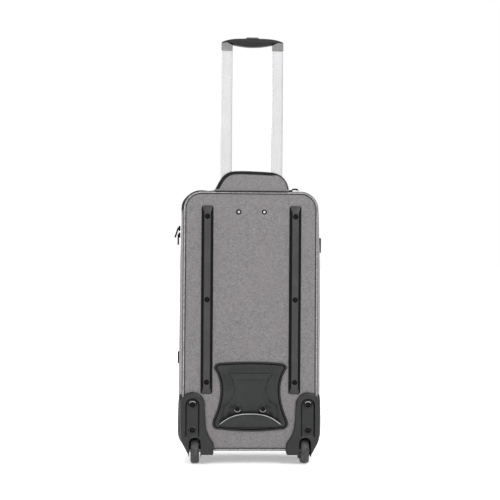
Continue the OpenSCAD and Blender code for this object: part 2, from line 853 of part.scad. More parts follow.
module main_slider_upper() { side_slider(slider_upper_z); }
module main_slider_lower() { side_slider(slider_lower_z); }
module main_pull_upper() { side_pull(slider_upper_z + 2, zip_y + 0.2, pull_splay); }
module main_pull_lower() { side_pull(slider_lower_z + 2, zip_y - 0.2 - pull_w, 0); }

module pocket_slider(k) {
    y1 = lid_front_y + pocket_depth + 1 + gap;
    z = pocket_z1[k] - mouth_drop;
    x0 = -pocket_mouth_half_w;
    color("silver") block([x0, y1, z - slider_d / 2], [x0 + slider_h, y1 + slider_t, z + slider_d / 2]);
}

module pocket_pull(k) {
    y = lid_front_y + pocket_depth + 1 + gap + slider_t + 0.2;
    x = -pocket_mouth_half_w + slider_h / 2;
    z = pocket_z1[k] - mouth_drop;
    color(charcoal) difference() {
        block([x - pull_w / 2, y, z - pull_len], [x + pull_w / 2, y + pull_t, z]);
        rod_y(x, z - pull_len + pull_hole_up, y - 5, y + 5, pull_hole_r);
    }
}

module pocket_slider_lower() { pocket_slider(0); }
module pocket_slider_upper() { pocket_slider(1); }
module pocket_pull_lower() { pocket_pull(0); }
module pocket_pull_upper() { pocket_pull(1); }

shell();
back_board();
lining_panel();
laptop_sleeve();
back_piping();
zip_tape_case();
skid_rail_left();
skid_rail_right();
panel_screws();
kick_plate();
bracket_screws();
wheel_housing_left();
wheel_housing_right();
upper_bracket();
lower_bracket();
outer_tube_left();
outer_tube_right();
handle_well();
axle_left();
axle_right();
front_feet();
carry_handle();
side_tabs();
flap_zip_slider();
handle_flap();
flap_edging();
flap_pull_ring();
flap_pull_tab();
inner_tube_left();
inner_tube_right();
tube_plug_left();
tube_plug_right();
fitting_left();
fitting_right();
grip_body();
grip_cover();
release_button();
push_yoke();
lock_pin_left();
lock_pin_right();
button_spring();
tyre_left();
hub_left();
bearings_left();
tyre_right();
hub_right();
bearings_right();
lid_shell();
zip_tape_lid();
pocket_lower();
pocket_upper();
pocket_zip_tapes();
main_slider_upper();
main_pull_upper();
main_slider_lower();
main_pull_lower();
pocket_slider_lower();
pocket_pull_lower();
pocket_slider_upper();
pocket_pull_upper();
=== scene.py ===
# Looks of a two-wheeled soft rolling laptop case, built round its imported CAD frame.
# Shapes are written in millimetres in the frame's own axes and scaled to metres when a mesh is made.
import math

import bmesh
import bpy
import numpy as np
from mathutils import Matrix, Vector, geometry, kdtree


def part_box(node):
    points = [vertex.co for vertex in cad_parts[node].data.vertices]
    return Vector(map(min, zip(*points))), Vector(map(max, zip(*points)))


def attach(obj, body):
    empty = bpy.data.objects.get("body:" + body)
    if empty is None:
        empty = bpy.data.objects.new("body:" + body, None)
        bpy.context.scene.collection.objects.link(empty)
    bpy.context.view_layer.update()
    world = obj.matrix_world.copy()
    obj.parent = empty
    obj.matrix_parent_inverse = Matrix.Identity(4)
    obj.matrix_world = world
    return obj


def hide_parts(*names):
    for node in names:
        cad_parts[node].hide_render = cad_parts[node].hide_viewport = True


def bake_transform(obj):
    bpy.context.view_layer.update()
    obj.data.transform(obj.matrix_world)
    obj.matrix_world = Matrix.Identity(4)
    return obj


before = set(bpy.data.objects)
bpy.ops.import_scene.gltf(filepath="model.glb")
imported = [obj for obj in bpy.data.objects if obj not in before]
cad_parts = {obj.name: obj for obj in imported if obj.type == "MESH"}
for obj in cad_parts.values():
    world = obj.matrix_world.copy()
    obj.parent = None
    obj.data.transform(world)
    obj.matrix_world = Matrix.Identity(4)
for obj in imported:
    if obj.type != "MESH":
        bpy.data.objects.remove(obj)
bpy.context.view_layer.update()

MM = 0.001
LEFT, RIGHT = -1, 1
SIDE_NAMES = {LEFT: "left", RIGHT: "right"}


def cad(node):
    """Lowest and highest corner of a CAD node, in millimetres."""
    low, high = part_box(node)
    return np.array(low) / MM, np.array(high) / MM


# ---------------------------------------------------------------- sizes from the frame

SHELL_LOW, SHELL_HIGH = cad("shell")
PANEL_Y = SHELL_LOW[1]                  # outer face of the back panel
BODY_Z0, BODY_Z1 = SHELL_LOW[2], SHELL_HIGH[2]
BODY_HALF = SHELL_HIGH[0]
ZIP_Y = SHELL_HIGH[1] + 2               # plane where the two halves of the main zip meet
FRONT_Y = cad("lid_shell")[1][1]         # outer face of the lid
BACK_HALF = BODY_HALF - 11.3
BACK_SHIFT = -1.2                       # the back panel sits a little off the middle
WALL = 4                                # thickness of the padded cloth
TOOTH_PITCH, STITCH_PITCH = 2.2, 3.4
PANEL_RINGS = (1.2, 2.6, 4.2)           # rows of points inside the edge of a padded panel
FLAP_RINGS = (0.8, 2.0, 4.0)


# ---------------------------------------------------------------- small mesh tools

def add_mesh(name, verts, faces, sharp_angle=None):
    """A smooth-shaded mesh from points in millimetres."""
    mesh = bpy.data.meshes.new(name)
    mesh.from_pydata((np.asarray(verts, float) * MM).tolist(), [], faces)
    mesh.update()
    mesh.shade_smooth()
    if sharp_angle is not None:
        mesh.set_sharp_from_angle(angle=math.radians(sharp_angle))
    piece = bpy.data.objects.new(name, mesh)
    bpy.context.scene.collection.objects.link(piece)
    return piece


def merge(parts):
    """Joins several (points, faces) pairs into one."""
    points, faces, start = [], [], 0
    for part_points, part_faces in parts:
        points.append(np.asarray(part_points, float))
        faces += [tuple(i + start for i in face) for face in part_faces]
        start += len(part_points)
    return np.concatenate(points), faces


def grid_faces(rows, columns, wrap=True, flip=False):
    """Quads of a grid of points, whose rows close on themselves when wrap is true."""
    last = columns if wrap else columns - 1
    faces = []
    for r in range(rows - 1):
        for c in range(last):
            d = (c + 1) % columns
            face = (r * columns + c, r * columns + d, (r + 1) * columns + d, (r + 1) * columns + c)
            faces.append(face[::-1] if flip else face)
    return faces


def read(rows, attribute, width=1, kind=np.float32):
    """One attribute of every vertex, corner or face of a mesh."""
    values = np.empty(len(rows) * width, kind)
    rows.foreach_get(attribute, values)
    return values.reshape(-1, width) if width > 1 else values


def facing(faces, side):
    """Faces of a right-hand shape whose points have been moved to the given side."""
    return faces if side == RIGHT else [face[::-1] for face in faces]


def box_uv(mesh):
    """Lays a texture map in metres, each face seen along the axis it faces most."""
    layer = mesh.uv_layers.new(name="UVMap")
    points = read(mesh.vertices, "co", 3)[read(mesh.loops, "vertex_index", kind=np.int32)]
    totals = read(mesh.polygons, "loop_total", kind=np.int32)
    axis = np.repeat(np.abs(read(mesh.polygons, "normal", 3)).argmax(1), totals)
    u = np.where(axis == 0, points[:, 1], points[:, 0])
    v = np.where(axis == 2, points[:, 1], points[:, 2])
    layer.data.foreach_set("uv", np.stack([u, v], 1).ravel().astype(np.float32))


def lay_on(piece, *materials):
    for material in materials:
        piece.data.materials.append(material)


def dress(piece, material, body, slot, *nodes):
    """Gives a piece its material, map, body and the CAD nodes that it stands for; slot is not used."""
    if not piece.data.materials:
        piece.data.materials.append(material)
    if not piece.data.uv_layers:
        box_uv(piece.data)
    if body:
        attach(piece, body)
    if nodes:
        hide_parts(*nodes)
    return piece


def part(name, shape, material, body, slot, *nodes, sharp=None):
    """A piece made from (points, faces), with its looks, body and CAD nodes; slot is not used."""
    return dress(add_mesh(name, *shape, sharp), material, body, slot, *nodes)


def machined(name, node, body, slot, material, width, angle=40, segments=2, fatten=None):
    """A copy of a CAD node with every hard edge rounded by width millimetres, and thickened where
    fatten gives a direction and a factor."""
    shape = bmesh.new()
    shape.from_mesh(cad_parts[node].data)
    bmesh.ops.remove_doubles(shape, verts=shape.verts, dist=2e-6)
    bmesh.ops.dissolve_limit(shape, angle_limit=math.radians(0.6), verts=shape.verts, edges=shape.edges)
    if fatten:
        way, factor = Vector(fatten[0]).normalized(), fatten[1] - 1
        centre = sum((v.co for v in shape.verts), Vector()) / len(shape.verts)
        for v in shape.verts:
            v.co += way * ((v.co - centre).dot(way) * factor)
    mesh = bpy.data.meshes.new(name)
    shape.to_mesh(mesh)
    shape.free()
    mesh.shade_smooth()
    piece = bpy.data.objects.new(name, mesh)
    bpy.context.scene.collection.objects.link(piece)
    bevel = piece.modifiers.new("rounded_edges", "BEVEL")
    bevel.width = width * MM
    bevel.segments = segments
    bevel.limit_method = "ANGLE"
    bevel.angle_limit = math.radians(angle)
    bevel.harden_normals = True
    mesh.set_sharp_from_angle(angle=math.radians(angle))
    return dress(piece, material, body, slot, node)


def full_turn(n):
    """n angles evenly round a circle, in radians."""
    return np.linspace(0, 2 * math.pi, n, endpoint=False)


def arc(cx, cz, r, a0, a1, n):
    """n + 1 points of an arc, angles in degrees."""
    a = np.radians(np.linspace(a0, a1, n + 1))
    return np.stack([cx + r * np.cos(a), cz + r * np.sin(a)], 1)


def line(p, q, n):
    """n - 1 points strictly between p and q."""
    t = np.linspace(0, 1, n + 1)[1:-1, None]
    return np.asarray(p) * (1 - t) + np.asarray(q) * t


def round_box(top_w, bottom_w, z0, z1, rt, rb, corner=12, side=64, end=40):
    """Closed outline with round corners; the same count of points whatever its size."""
    rt, rb = max(rt, 1.0), max(rb, 1.0)
    return np.concatenate([
        arc(bottom_w - rb, z0 + rb, rb, -90, 0, corner),
        line((bottom_w, z0 + rb), (top_w, z1 - rt), side),
        arc(top_w - rt, z1 - rt, rt, 0, 90, corner),
        line((top_w - rt, z1), (rt - top_w, z1), end),
        arc(rt - top_w, z1 - rt, rt, 90, 180, corner),
        line((-top_w, z1 - rt), (-bottom_w, z0 + rb), side),
        arc(rb - bottom_w, z0 + rb, rb, 180, 270, corner),
        line((rb - bottom_w, z0), (bottom_w - rb, z0), end)])


def smooth(t):
    t = np.clip(t, 0, 1)
    return t * t * (3 - 2 * t)


def hump(x, width):
    """A soft ridge round x = 0."""
    return np.exp(-(x / width) ** 2)


def round_over(near, r):
    """Drop of a quarter-round edge: 1 at the edge itself, 0 from r inwards."""
    return 1 - np.sqrt(np.clip(1 - (1 - np.clip(near / r, 0, 1)) ** 2, 0, 1))


def spread(x, z, y=0.0):
    """Points (x, y, z) from arrays of x and z, and one y."""
    return np.stack([x, x * 0 + y, z], 1)


def ripple(points, size):
    """A soft wave field between -1 and 1 with no directions of its own, for cloth."""
    p = np.asarray(points, float) / size
    total = np.zeros(len(p))
    turns = ((1.0, 0.31, 0.17, 0.0), (-0.42, 1.13, 0.36, 1.9), (0.27, -0.55, 1.21, 4.1),
             (0.9, 0.8, -0.7, 2.6), (-1.3, 0.4, 0.9, 5.2))
    for ax, ay, az, shift in turns:
        total += np.sin(p[:, 0] * ax + p[:, 1] * ay + p[:, 2] * az + shift)
    return total / len(turns)


def resample(loop, step):
    """Points at an even spacing of about step round a closed outline."""
    loop = np.asarray(loop, float)
    closed = np.vstack([loop, loop[:1]])
    lengths = np.linalg.norm(np.diff(closed, axis=0), axis=1)
    at = np.concatenate([[0], np.cumsum(lengths)])
    count = max(8, int(round(at[-1] / step)))
    s = np.linspace(0, at[-1], count + 1)[:-1]
    return np.stack([np.interp(s, at, closed[:, k]) for k in range(loop.shape[1])], 1)


def edge_distance(points, loop):
    """Distance from each point to a closed outline, and whether it is inside."""
    a, b = loop, np.roll(loop, -1, 0)
    ab = b - a
    rel = points[:, None, :] - a[None]
    t = np.clip((rel * ab).sum(2) / np.maximum((ab * ab).sum(1), 1e-12), 0, 1)
    distance = np.linalg.norm(rel - t[..., None] * ab, axis=2).min(1)
    x, z = points[:, 0:1], points[:, 1:2]
    crosses = (a[:, 1] > z) != (b[:, 1] > z)
    with np.errstate(divide="ignore", invalid="ignore"):
        at = a[:, 0] + (z - a[:, 1]) / (b[:, 1] - a[:, 1]) * ab[:, 0]
    inside = (crosses & (x < at)).sum(1) % 2 == 1
    return distance, inside


def inset(loop, distance):
    """A closed counter-clockwise outline moved inwards along its own normals."""
    ahead = np.roll(loop, -1, 0) - loop
    behind = loop - np.roll(loop, 1, 0)
    ahead /= np.linalg.norm(ahead, axis=1)[:, None]
    behind /= np.linalg.norm(behind, axis=1)[:, None]
    along = ahead + behind
    along /= np.maximum(np.linalg.norm(along, axis=1), 1e-6)[:, None]
    return loop + distance * np.stack([-along[:, 1], along[:, 0]], 1)


def relief(outline, height, back, step, rounding=(), marks=(), creases=()):
    """A moulded plate: points and faces of a front face whose place along Y is height(x, z, edge distance),
    with side walls that run to back, a plane or a function of (x, z).
    marks are (x, z, radii) of circles that the mesh follows, such as screw seats, and creases are
    rows of points that it follows."""
    loop = resample(outline, step)
    rings = [loop]
    for r in rounding:
        ring = inset(loop, r)
        near, _ = edge_distance(ring, loop)
        rings.append(ring[near > 0.8 * r])
    low, high = loop.min(0), loop.max(0)
    xs = np.arange(low[0] + step / 2, high[0], step)
    zs = np.arange(low[1] + step / 2, high[1], step)
    grid = np.stack(np.meshgrid(xs, zs), -1).reshape(-1, 2)
    grid[:, 0] += (np.round((grid[:, 1] - low[1]) / step) % 2) * step * 0.31
    near, inside = edge_distance(grid, loop)
    clear = (rounding[-1] if rounding else 0) + 0.6 * step
    keep = inside & (near > clear)
    for x, z, radii in marks:
        keep &= np.hypot(grid[:, 0] - x, grid[:, 1] - z) > max(radii) + 0.5 * step
        for r in radii:
            rings.append(arc(x, z, r, 0, 360, max(12, int(2 * math.pi * r / step)))[:-1])
    for crease in creases:
        free = np.ones(len(crease), bool)
        for x, z, radii in marks:
            free &= np.hypot(crease[:, 0] - x, crease[:, 1] - z) > max(radii) + 0.2 * step
        rings.append(crease[free])
        apart = np.hypot(grid[:, None, 0] - crease[None, :, 0], grid[:, None, 1] - crease[None, :, 1]).min(1)
        keep &= apart > 0.7 * step
    flat = np.concatenate(rings + [grid[keep]])
    count = len(loop)
    edges = [(i, (i + 1) % count) for i in range(count)]
    points, _, faces, *_ = geometry.delaunay_2d_cdt([Vector(p) for p in flat], edges, [], 1, 1e-6)
    flat = np.array([(p.x, p.y) for p in points])
    near, _ = edge_distance(flat, loop)
    near[near < 1e-3] = 0
    y = height(flat[:, 0], flat[:, 1], near)
    front = np.stack([flat[:, 0], y, flat[:, 1]], 1)
    rim = [int(np.abs(flat - p).sum(1).argmin()) for p in loop]
    end = back(loop[:, 0], loop[:, 1]) if callable(back) else np.full(count, float(back))
    outward = 1 if end.mean() > front[:, 1].mean() else -1
    wall = np.stack([loop[:, 0], end, loop[:, 1]], 1)
    lower = range(len(front), len(front) + count)
    quads = [(rim[i], lower[i], lower[j], rim[j]) for i, j in edges]
    faces = [tuple(f) if outward > 0 else tuple(f)[::-1] for f in list(faces) + quads]
    return np.concatenate([front, wall]), faces


def sweep(path, section, closed=True, up=None):
    """A section of (side, out) points carried along a path; out points away from the path's middle,
    or along up where it is given."""
    path, section = np.asarray(path, float), np.asarray(section, float)
    n = len(path)
    if closed:
        along = np.roll(path, -1, 0) - np.roll(path, 1, 0)
    else:
        along = np.gradient(path, axis=0)
    along /= np.linalg.norm(along, axis=1)[:, None]
    if up is None:
        side = np.tile([0.0, 1.0, 0.0], (n, 1))
    else:
        side = np.cross(along, np.asarray(up, float))
        side /= np.maximum(np.linalg.norm(side, axis=1), 1e-9)[:, None]
    out = np.cross(side, along)
    out /= np.linalg.norm(out, axis=1)[:, None]
    points = path[:, None] + section[None, :, :1] * side[:, None] + section[None, :, 1:] * out[:, None]
    faces = grid_faces(n + closed, len(section))
    faces = [tuple(i % (n * len(section)) for i in f) for f in faces]
    if not closed:
        faces += [tuple(range(len(section)))[::-1],
                  tuple(range((n - 1) * len(section), n * len(section)))]
    return points.reshape(-1, 3), faces


def disc(r, n=10):
    """Round section for a cord or a piping."""
    a = -full_turn(n)
    return np.stack([r * np.cos(a), r * np.sin(a)], 1)


def ribbon(half, thick, crown=0.3):
    """Section of a flat tape that lies on its inner face."""
    return np.array([(-half, 0), (-half, thick), (-half * 0.5, thick + crown), (half * 0.5, thick + crown),
                     (half, thick), (half, 0)])


def beads(path, pitch, closed=True):
    """Places and directions of small pieces set at an even pitch along a path."""
    path = np.asarray(path, float)
    whole = np.vstack([path, path[:1]]) if closed else path
    lengths = np.linalg.norm(np.diff(whole, axis=0), axis=1)
    at = np.concatenate([[0], np.cumsum(lengths)])
    count = int(at[-1] / pitch)
    s = (np.arange(count) + 0.5) * at[-1] / count
    centre = np.stack([np.interp(s, at, whole[:, k]) for k in range(3)], 1)
    ahead = np.stack([np.interp(np.minimum(s + 0.5, at[-1]), at, whole[:, k]) for k in range(3)], 1)
    back = np.stack([np.interp(np.maximum(s - 0.5, 0), at, whole[:, k]) for k in range(3)], 1)
    along = ahead - back
    along /= np.linalg.norm(along, axis=1)[:, None]
    return centre, along


def blocks(centre, along, across, size):
    """Six-sided pebbles: long axis along, given half sizes (along, across, up)."""
    up = np.cross(along, across)
    up /= np.linalg.norm(up, axis=1)[:, None]
    half = np.array(size) / 2
    corners = np.array([(-1, 0, 0), (-0.6, 1, 0), (0.6, 1, 0), (1, 0, 0), (0.6, -1, 0), (-0.6, -1, 0),
                        (-0.5, 0, 1), (0.5, 0, 1), (0.5, 0, -1), (-0.5, 0, -1)]) * half
    axes = np.stack([along, across, up], 1)
    points = centre[:, None] + np.einsum("ck,nkj->ncj", corners, axes)
    one = [(0, 6, 1), (1, 6, 7, 2), (2, 7, 3), (3, 7, 4), (4, 7, 6, 5), (5, 6, 0),
           (0, 1, 9), (1, 2, 8, 9), (2, 3, 8), (3, 4, 8), (4, 5, 9, 8), (5, 0, 9)]
    faces = [tuple(i + k * 10 for i in f) for k in range(len(centre)) for f in one]
    return points.reshape(-1, 3), faces


def row_of(path, pitch, size, across=(0, 1, 0), closed=True):
    """Teeth or stitches along a path; size is (along, across, up)."""
    centre, along = beads(path, pitch, closed)
    side = np.tile(np.asarray(across, float), (len(centre), 1))
    side -= (side * along).sum(1)[:, None] * along
    side /= np.linalg.norm(side, axis=1)[:, None]
    return blocks(centre, along, side, size)


# ---------------------------------------------------------------- materials

def node_material(name, color, roughness, metallic=0.0, **sockets):
    material = bpy.data.materials.new(name)
    material.use_nodes = True
    tree = material.node_tree
    shader = tree.nodes["Principled BSDF"]
    shader.inputs["Base Color"].default_value = (*color, 1)
    shader.inputs["Roughness"].default_value = roughness
    shader.inputs["Metallic"].default_value = metallic
    for key, value in sockets.items():
        shader.inputs[key.replace("_", " ")].default_value = value
    return material, tree, shader


def link(tree, a, b):
    tree.links.new(a, b)


def feed(tree, socket, value):
    """Gives a socket a constant, or links another node's output to it."""
    if isinstance(value, bpy.types.NodeSocket):
        link(tree, value, socket)
    else:
        socket.default_value = value


def noise(tree, scale, detail=2.0, stretch=None):
    """Noise in object space, in units of one metre, drawn out along an axis where stretch is given."""
    node = tree.nodes.new("ShaderNodeTexNoise")
    node.inputs["Scale"].default_value = scale
    node.inputs["Detail"].default_value = detail
    source = tree.nodes.new("ShaderNodeTexCoord").outputs["Object"]
    if stretch:
        mapping = tree.nodes.new("ShaderNodeMapping")
        mapping.inputs["Scale"].default_value = stretch
        link(tree, source, mapping.inputs["Vector"])
        source = mapping.outputs["Vector"]
    link(tree, source, node.inputs["Vector"])
    return node.outputs["Fac"]


def ramp(tree, factor, *stops):
    node = tree.nodes.new("ShaderNodeValToRGB")
    elements = node.color_ramp.elements
    for i, (position, color) in enumerate(stops):
        element = elements[i] if i < 2 else elements.new(position)
        element.position = position
        element.color = (*color, 1)
    link(tree, factor, node.inputs["Fac"])
    return node.outputs["Color"]


def mix(tree, factor, a, b, kind="MIX"):
    node = tree.nodes.new("ShaderNodeMix")
    node.data_type = "RGBA"
    node.blend_type = kind
    for socket, value in ((node.inputs[0], factor), (node.inputs[6], a), (node.inputs[7], b)):
        feed(tree, socket, (*value, 1) if isinstance(value, tuple) else value)
    return node.outputs[2]


def math_node(tree, operation, a, b=0.0):
    node = tree.nodes.new("ShaderNodeMath")
    node.operation = operation
    for socket, value in zip(node.inputs, (a, b)):
        feed(tree, socket, value)
    return node.outputs[0]


def weave(tree, pitch_u, pitch_v):
    """Height of crossing threads, from the texture map in metres."""
    coord = tree.nodes.new("ShaderNodeTexCoord")
    split = tree.nodes.new("ShaderNodeSeparateXYZ")
    link(tree, coord.outputs["UV"], split.inputs[0])
    waves = []
    for axis, pitch in (("X", pitch_u), ("Y", pitch_v)):
        turn = math_node(tree, "MULTIPLY", split.outputs[axis], math.pi / (pitch * MM))
        waves.append(math_node(tree, "SINE", turn))
    return math_node(tree, "MULTIPLY", waves[0], waves[1])


def bump(tree, shader, height, distance, strength=1.0, before=None):
    node = tree.nodes.new("ShaderNodeBump")
    node.inputs["Distance"].default_value = distance * MM
    node.inputs["Strength"].default_value = strength
    link(tree, height, node.inputs["Height"])
    if before is not None:
        link(tree, before, node.inputs["Normal"])
    link(tree, node.outputs["Normal"], shader.inputs["Normal"])
    return node.outputs["Normal"]


def vary_roughness(tree, shader, pattern, low, high):
    """Roughness between low and high, after a pattern."""
    node = tree.nodes.new("ShaderNodeMapRange")
    node.inputs["To Min"].default_value = low
    node.inputs["To Max"].default_value = high
    link(tree, pattern, node.inputs["Value"])
    link(tree, node.outputs["Result"], shader.inputs["Roughness"])


def heather_cloth():
    """Woven two-tone polyester: light and dark yarns, with slow changes of shade."""
    light, dark, warm = (0.216, 0.208, 0.210), (0.124, 0.118, 0.121), (0.186, 0.168, 0.172)
    material, tree, shader = node_material("heather_cloth", light, 0.92, Sheen_Weight=0.25,
                                           Sheen_Roughness=0.5)
    across = noise(tree, 620, 3, stretch=(1.0, 1.0, 0.4))
    down = noise(tree, 560, 3, stretch=(0.42, 0.42, 1.0))
    yarn = math_node(tree, "ADD", across, down)
    fleck = ramp(tree, math_node(tree, "MULTIPLY", yarn, 0.5), (0.40, dark), (0.6, light))
    cloud = noise(tree, 16, 2)
    tone = mix(tree, ramp(tree, cloud, (0.42, (0, 0, 0)), (0.7, (0.4, 0.4, 0.4))), fleck, warm)
    threads = weave(tree, 0.9, 0.9)
    shade = ramp(tree, threads, (0.0, (0.84, 0.84, 0.84)), (0.7, (1, 1, 1)))
    link(tree, mix(tree, 1.0, tone, shade, "MULTIPLY"), shader.inputs["Base Color"])
    first = bump(tree, shader, threads, 0.22, 0.8)
    bump(tree, shader, noise(tree, 300, 3), 0.25, 0.5, first)
    return material


def black_weave(name, pitch_u, pitch_v, color=(0.0075, 0.0075, 0.008)):
    """Tightly woven black tape or webbing."""
    material, tree, shader = node_material(name, color, 0.85, Sheen_Weight=0.04, Sheen_Roughness=0.4,
                                           Specular_IOR_Level=0.2)
    threads = weave(tree, pitch_u, pitch_v)
    lighter = tuple(2.2 * c for c in color)
    worn = ramp(tree, noise(tree, 260, 3), (0.35, color), (0.75, lighter))
    link(tree, worn, shader.inputs["Base Color"])
    first = bump(tree, shader, threads, 0.3, 0.9)
    bump(tree, shader, noise(tree, 900, 2), 0.08, 0.5, first)
    return material


def lining_cloth():
    """Thin dark lining with a diamond pattern woven in."""
    base, high = (0.045, 0.045, 0.05), (0.085, 0.085, 0.092)
    material, tree, shader = node_material("lining_cloth", base, 0.7, Sheen_Weight=0.1, Sheen_Roughness=0.4)
    pattern = weave(tree, 5.0, 5.0)
    link(tree, ramp(tree, pattern, (0.45, base), (0.6, high)), shader.inputs["Base Color"])
    first = bump(tree, shader, weave(tree, 0.7, 0.7), 0.12, 0.7)
    bump(tree, shader, noise(tree, 22, 2), 2.0, 0.25, first)
    return material


def moulded_plastic(name, color, roughness, grain=0.06, specular=0.5):
    """Injection-moulded plastic with a fine spark-eroded grain and scuffed high spots."""
    material, tree, shader = node_material(name, color, roughness, Specular_IOR_Level=specular)
    scuff = noise(tree, 34, 5)
    pale = tuple(1.4 * c + 0.001 for c in color)
    link(tree, ramp(tree, scuff, (0.45, color), (0.8, pale)), shader.inputs["Base Color"])
    vary_roughness(tree, shader, noise(tree, 90, 4), roughness - 0.06, roughness + 0.1)
    bump(tree, shader, noise(tree, 1400, 2), grain, 0.8)
    return material


def brushed_metal(name, color, roughness, stretch=(1, 1, 0.02)):
    """Drawn or brushed metal, its fine lines running along Z."""
    material, tree, shader = node_material(name, color, roughness, 1.0)
    lines = noise(tree, 900, 2, stretch=stretch)
    vary_roughness(tree, shader, lines, roughness - 0.05, roughness + 0.08)
    dim = tuple(0.93 * c for c in color)
    link(tree, ramp(tree, noise(tree, 12, 2), (0.3, dim), (0.7, color)), shader.inputs["Base Color"])
    bump(tree, shader, lines, 0.02, 0.5)
    return material


def tyre_rubber():
    """Polyurethane tread, dusty where it runs."""
    dark, dusty = (0.020, 0.020, 0.021), (0.048, 0.047, 0.045)
    material, tree, shader = node_material("tyre_rubber", dark, 0.62)
    link(tree, ramp(tree, noise(tree, 120, 5), (0.42, dark), (0.72, dusty)), shader.inputs["Base Color"])
    bump(tree, shader, noise(tree, 700, 4), 0.12, 0.6)
    return material


HEATHER = heather_cloth()
TAPE = black_weave("zip_tape", 0.5, 1.2)
WEBBING = black_weave("webbing", 1.5, 1.1, (0.014, 0.014, 0.015))
THREAD = black_weave("thread", 0.4, 0.4, (0.12, 0.117, 0.12))
LINING = lining_cloth()
PLASTIC = moulded_plastic("moulded_plastic", (0.0145, 0.0150, 0.0155), 0.34, specular=0.27)
GREY_PLASTIC = moulded_plastic("grey_plastic", (0.15, 0.15, 0.153), 0.42, 0.2, specular=0.4)
DARK_GREY = moulded_plastic("button_plastic", (0.11, 0.11, 0.115), 0.42)
SOFT_TOUCH = moulded_plastic("soft_touch", (0.008, 0.008, 0.0084), 0.4, 0.03, specular=0.28)
RAIL_BAND = moulded_plastic("rail_band", (0.028, 0.028, 0.029), 0.4, specular=0.3)
BOARD = moulded_plastic("sheet_board", (0.12, 0.12, 0.12), 0.7)
ALUMINIUM = brushed_metal("polished_tube", (0.67, 0.67, 0.68), 0.26)
RAW_TUBE = brushed_metal("raw_tube", (0.62, 0.62, 0.63), 0.38)
STEEL = brushed_metal("zinc_steel", (0.50, 0.50, 0.51), 0.34, (1, 1, 1))
BLACK_PAINT = moulded_plastic("black_paint", (0.006, 0.006, 0.0062), 0.42, 0.03, specular=0.12)
# A darker, barely reflective copy of the housings' plastic for the part that wraps round the side: painted
# shade.
SIDE_SHADE_PLASTIC = moulded_plastic("housing_plastic_painted_side_shade", (0.011, 0.0113, 0.0117), 0.5, specular=0.06)
# Light grey plastic for thin cords laid on edges that catch the light: painted highlights.
PAINTED_HIGHLIGHT = moulded_plastic("painted_highlight", (0.30, 0.30, 0.305), 0.35)
CHROME = brushed_metal("chrome", (0.9, 0.9, 0.91), 0.1, (1, 1, 1))
TYRE = tyre_rubber()
# Near-black plastic: the real colour of the bracket washers, and painted shade on the rails' flanks and screw
# seats and along the housing channels' edges.
BLACK_AND_SHADE = moulded_plastic("black_plastic_and_painted_shade", (0.0035, 0.0035, 0.0037), 0.5, specular=0.08)
# Near-black material laid where shade falls, in grooves, holes and gaps: painted shade.
PAINTED_SHADE = moulded_plastic("painted_shade_black", (0.0015, 0.0015, 0.0016), 0.8, specular=0.03)
PIPING = black_weave("piping_cloth", 0.8, 0.8, (0.20, 0.195, 0.197))


# ---------------------------------------------------------------- camera, lights and floor

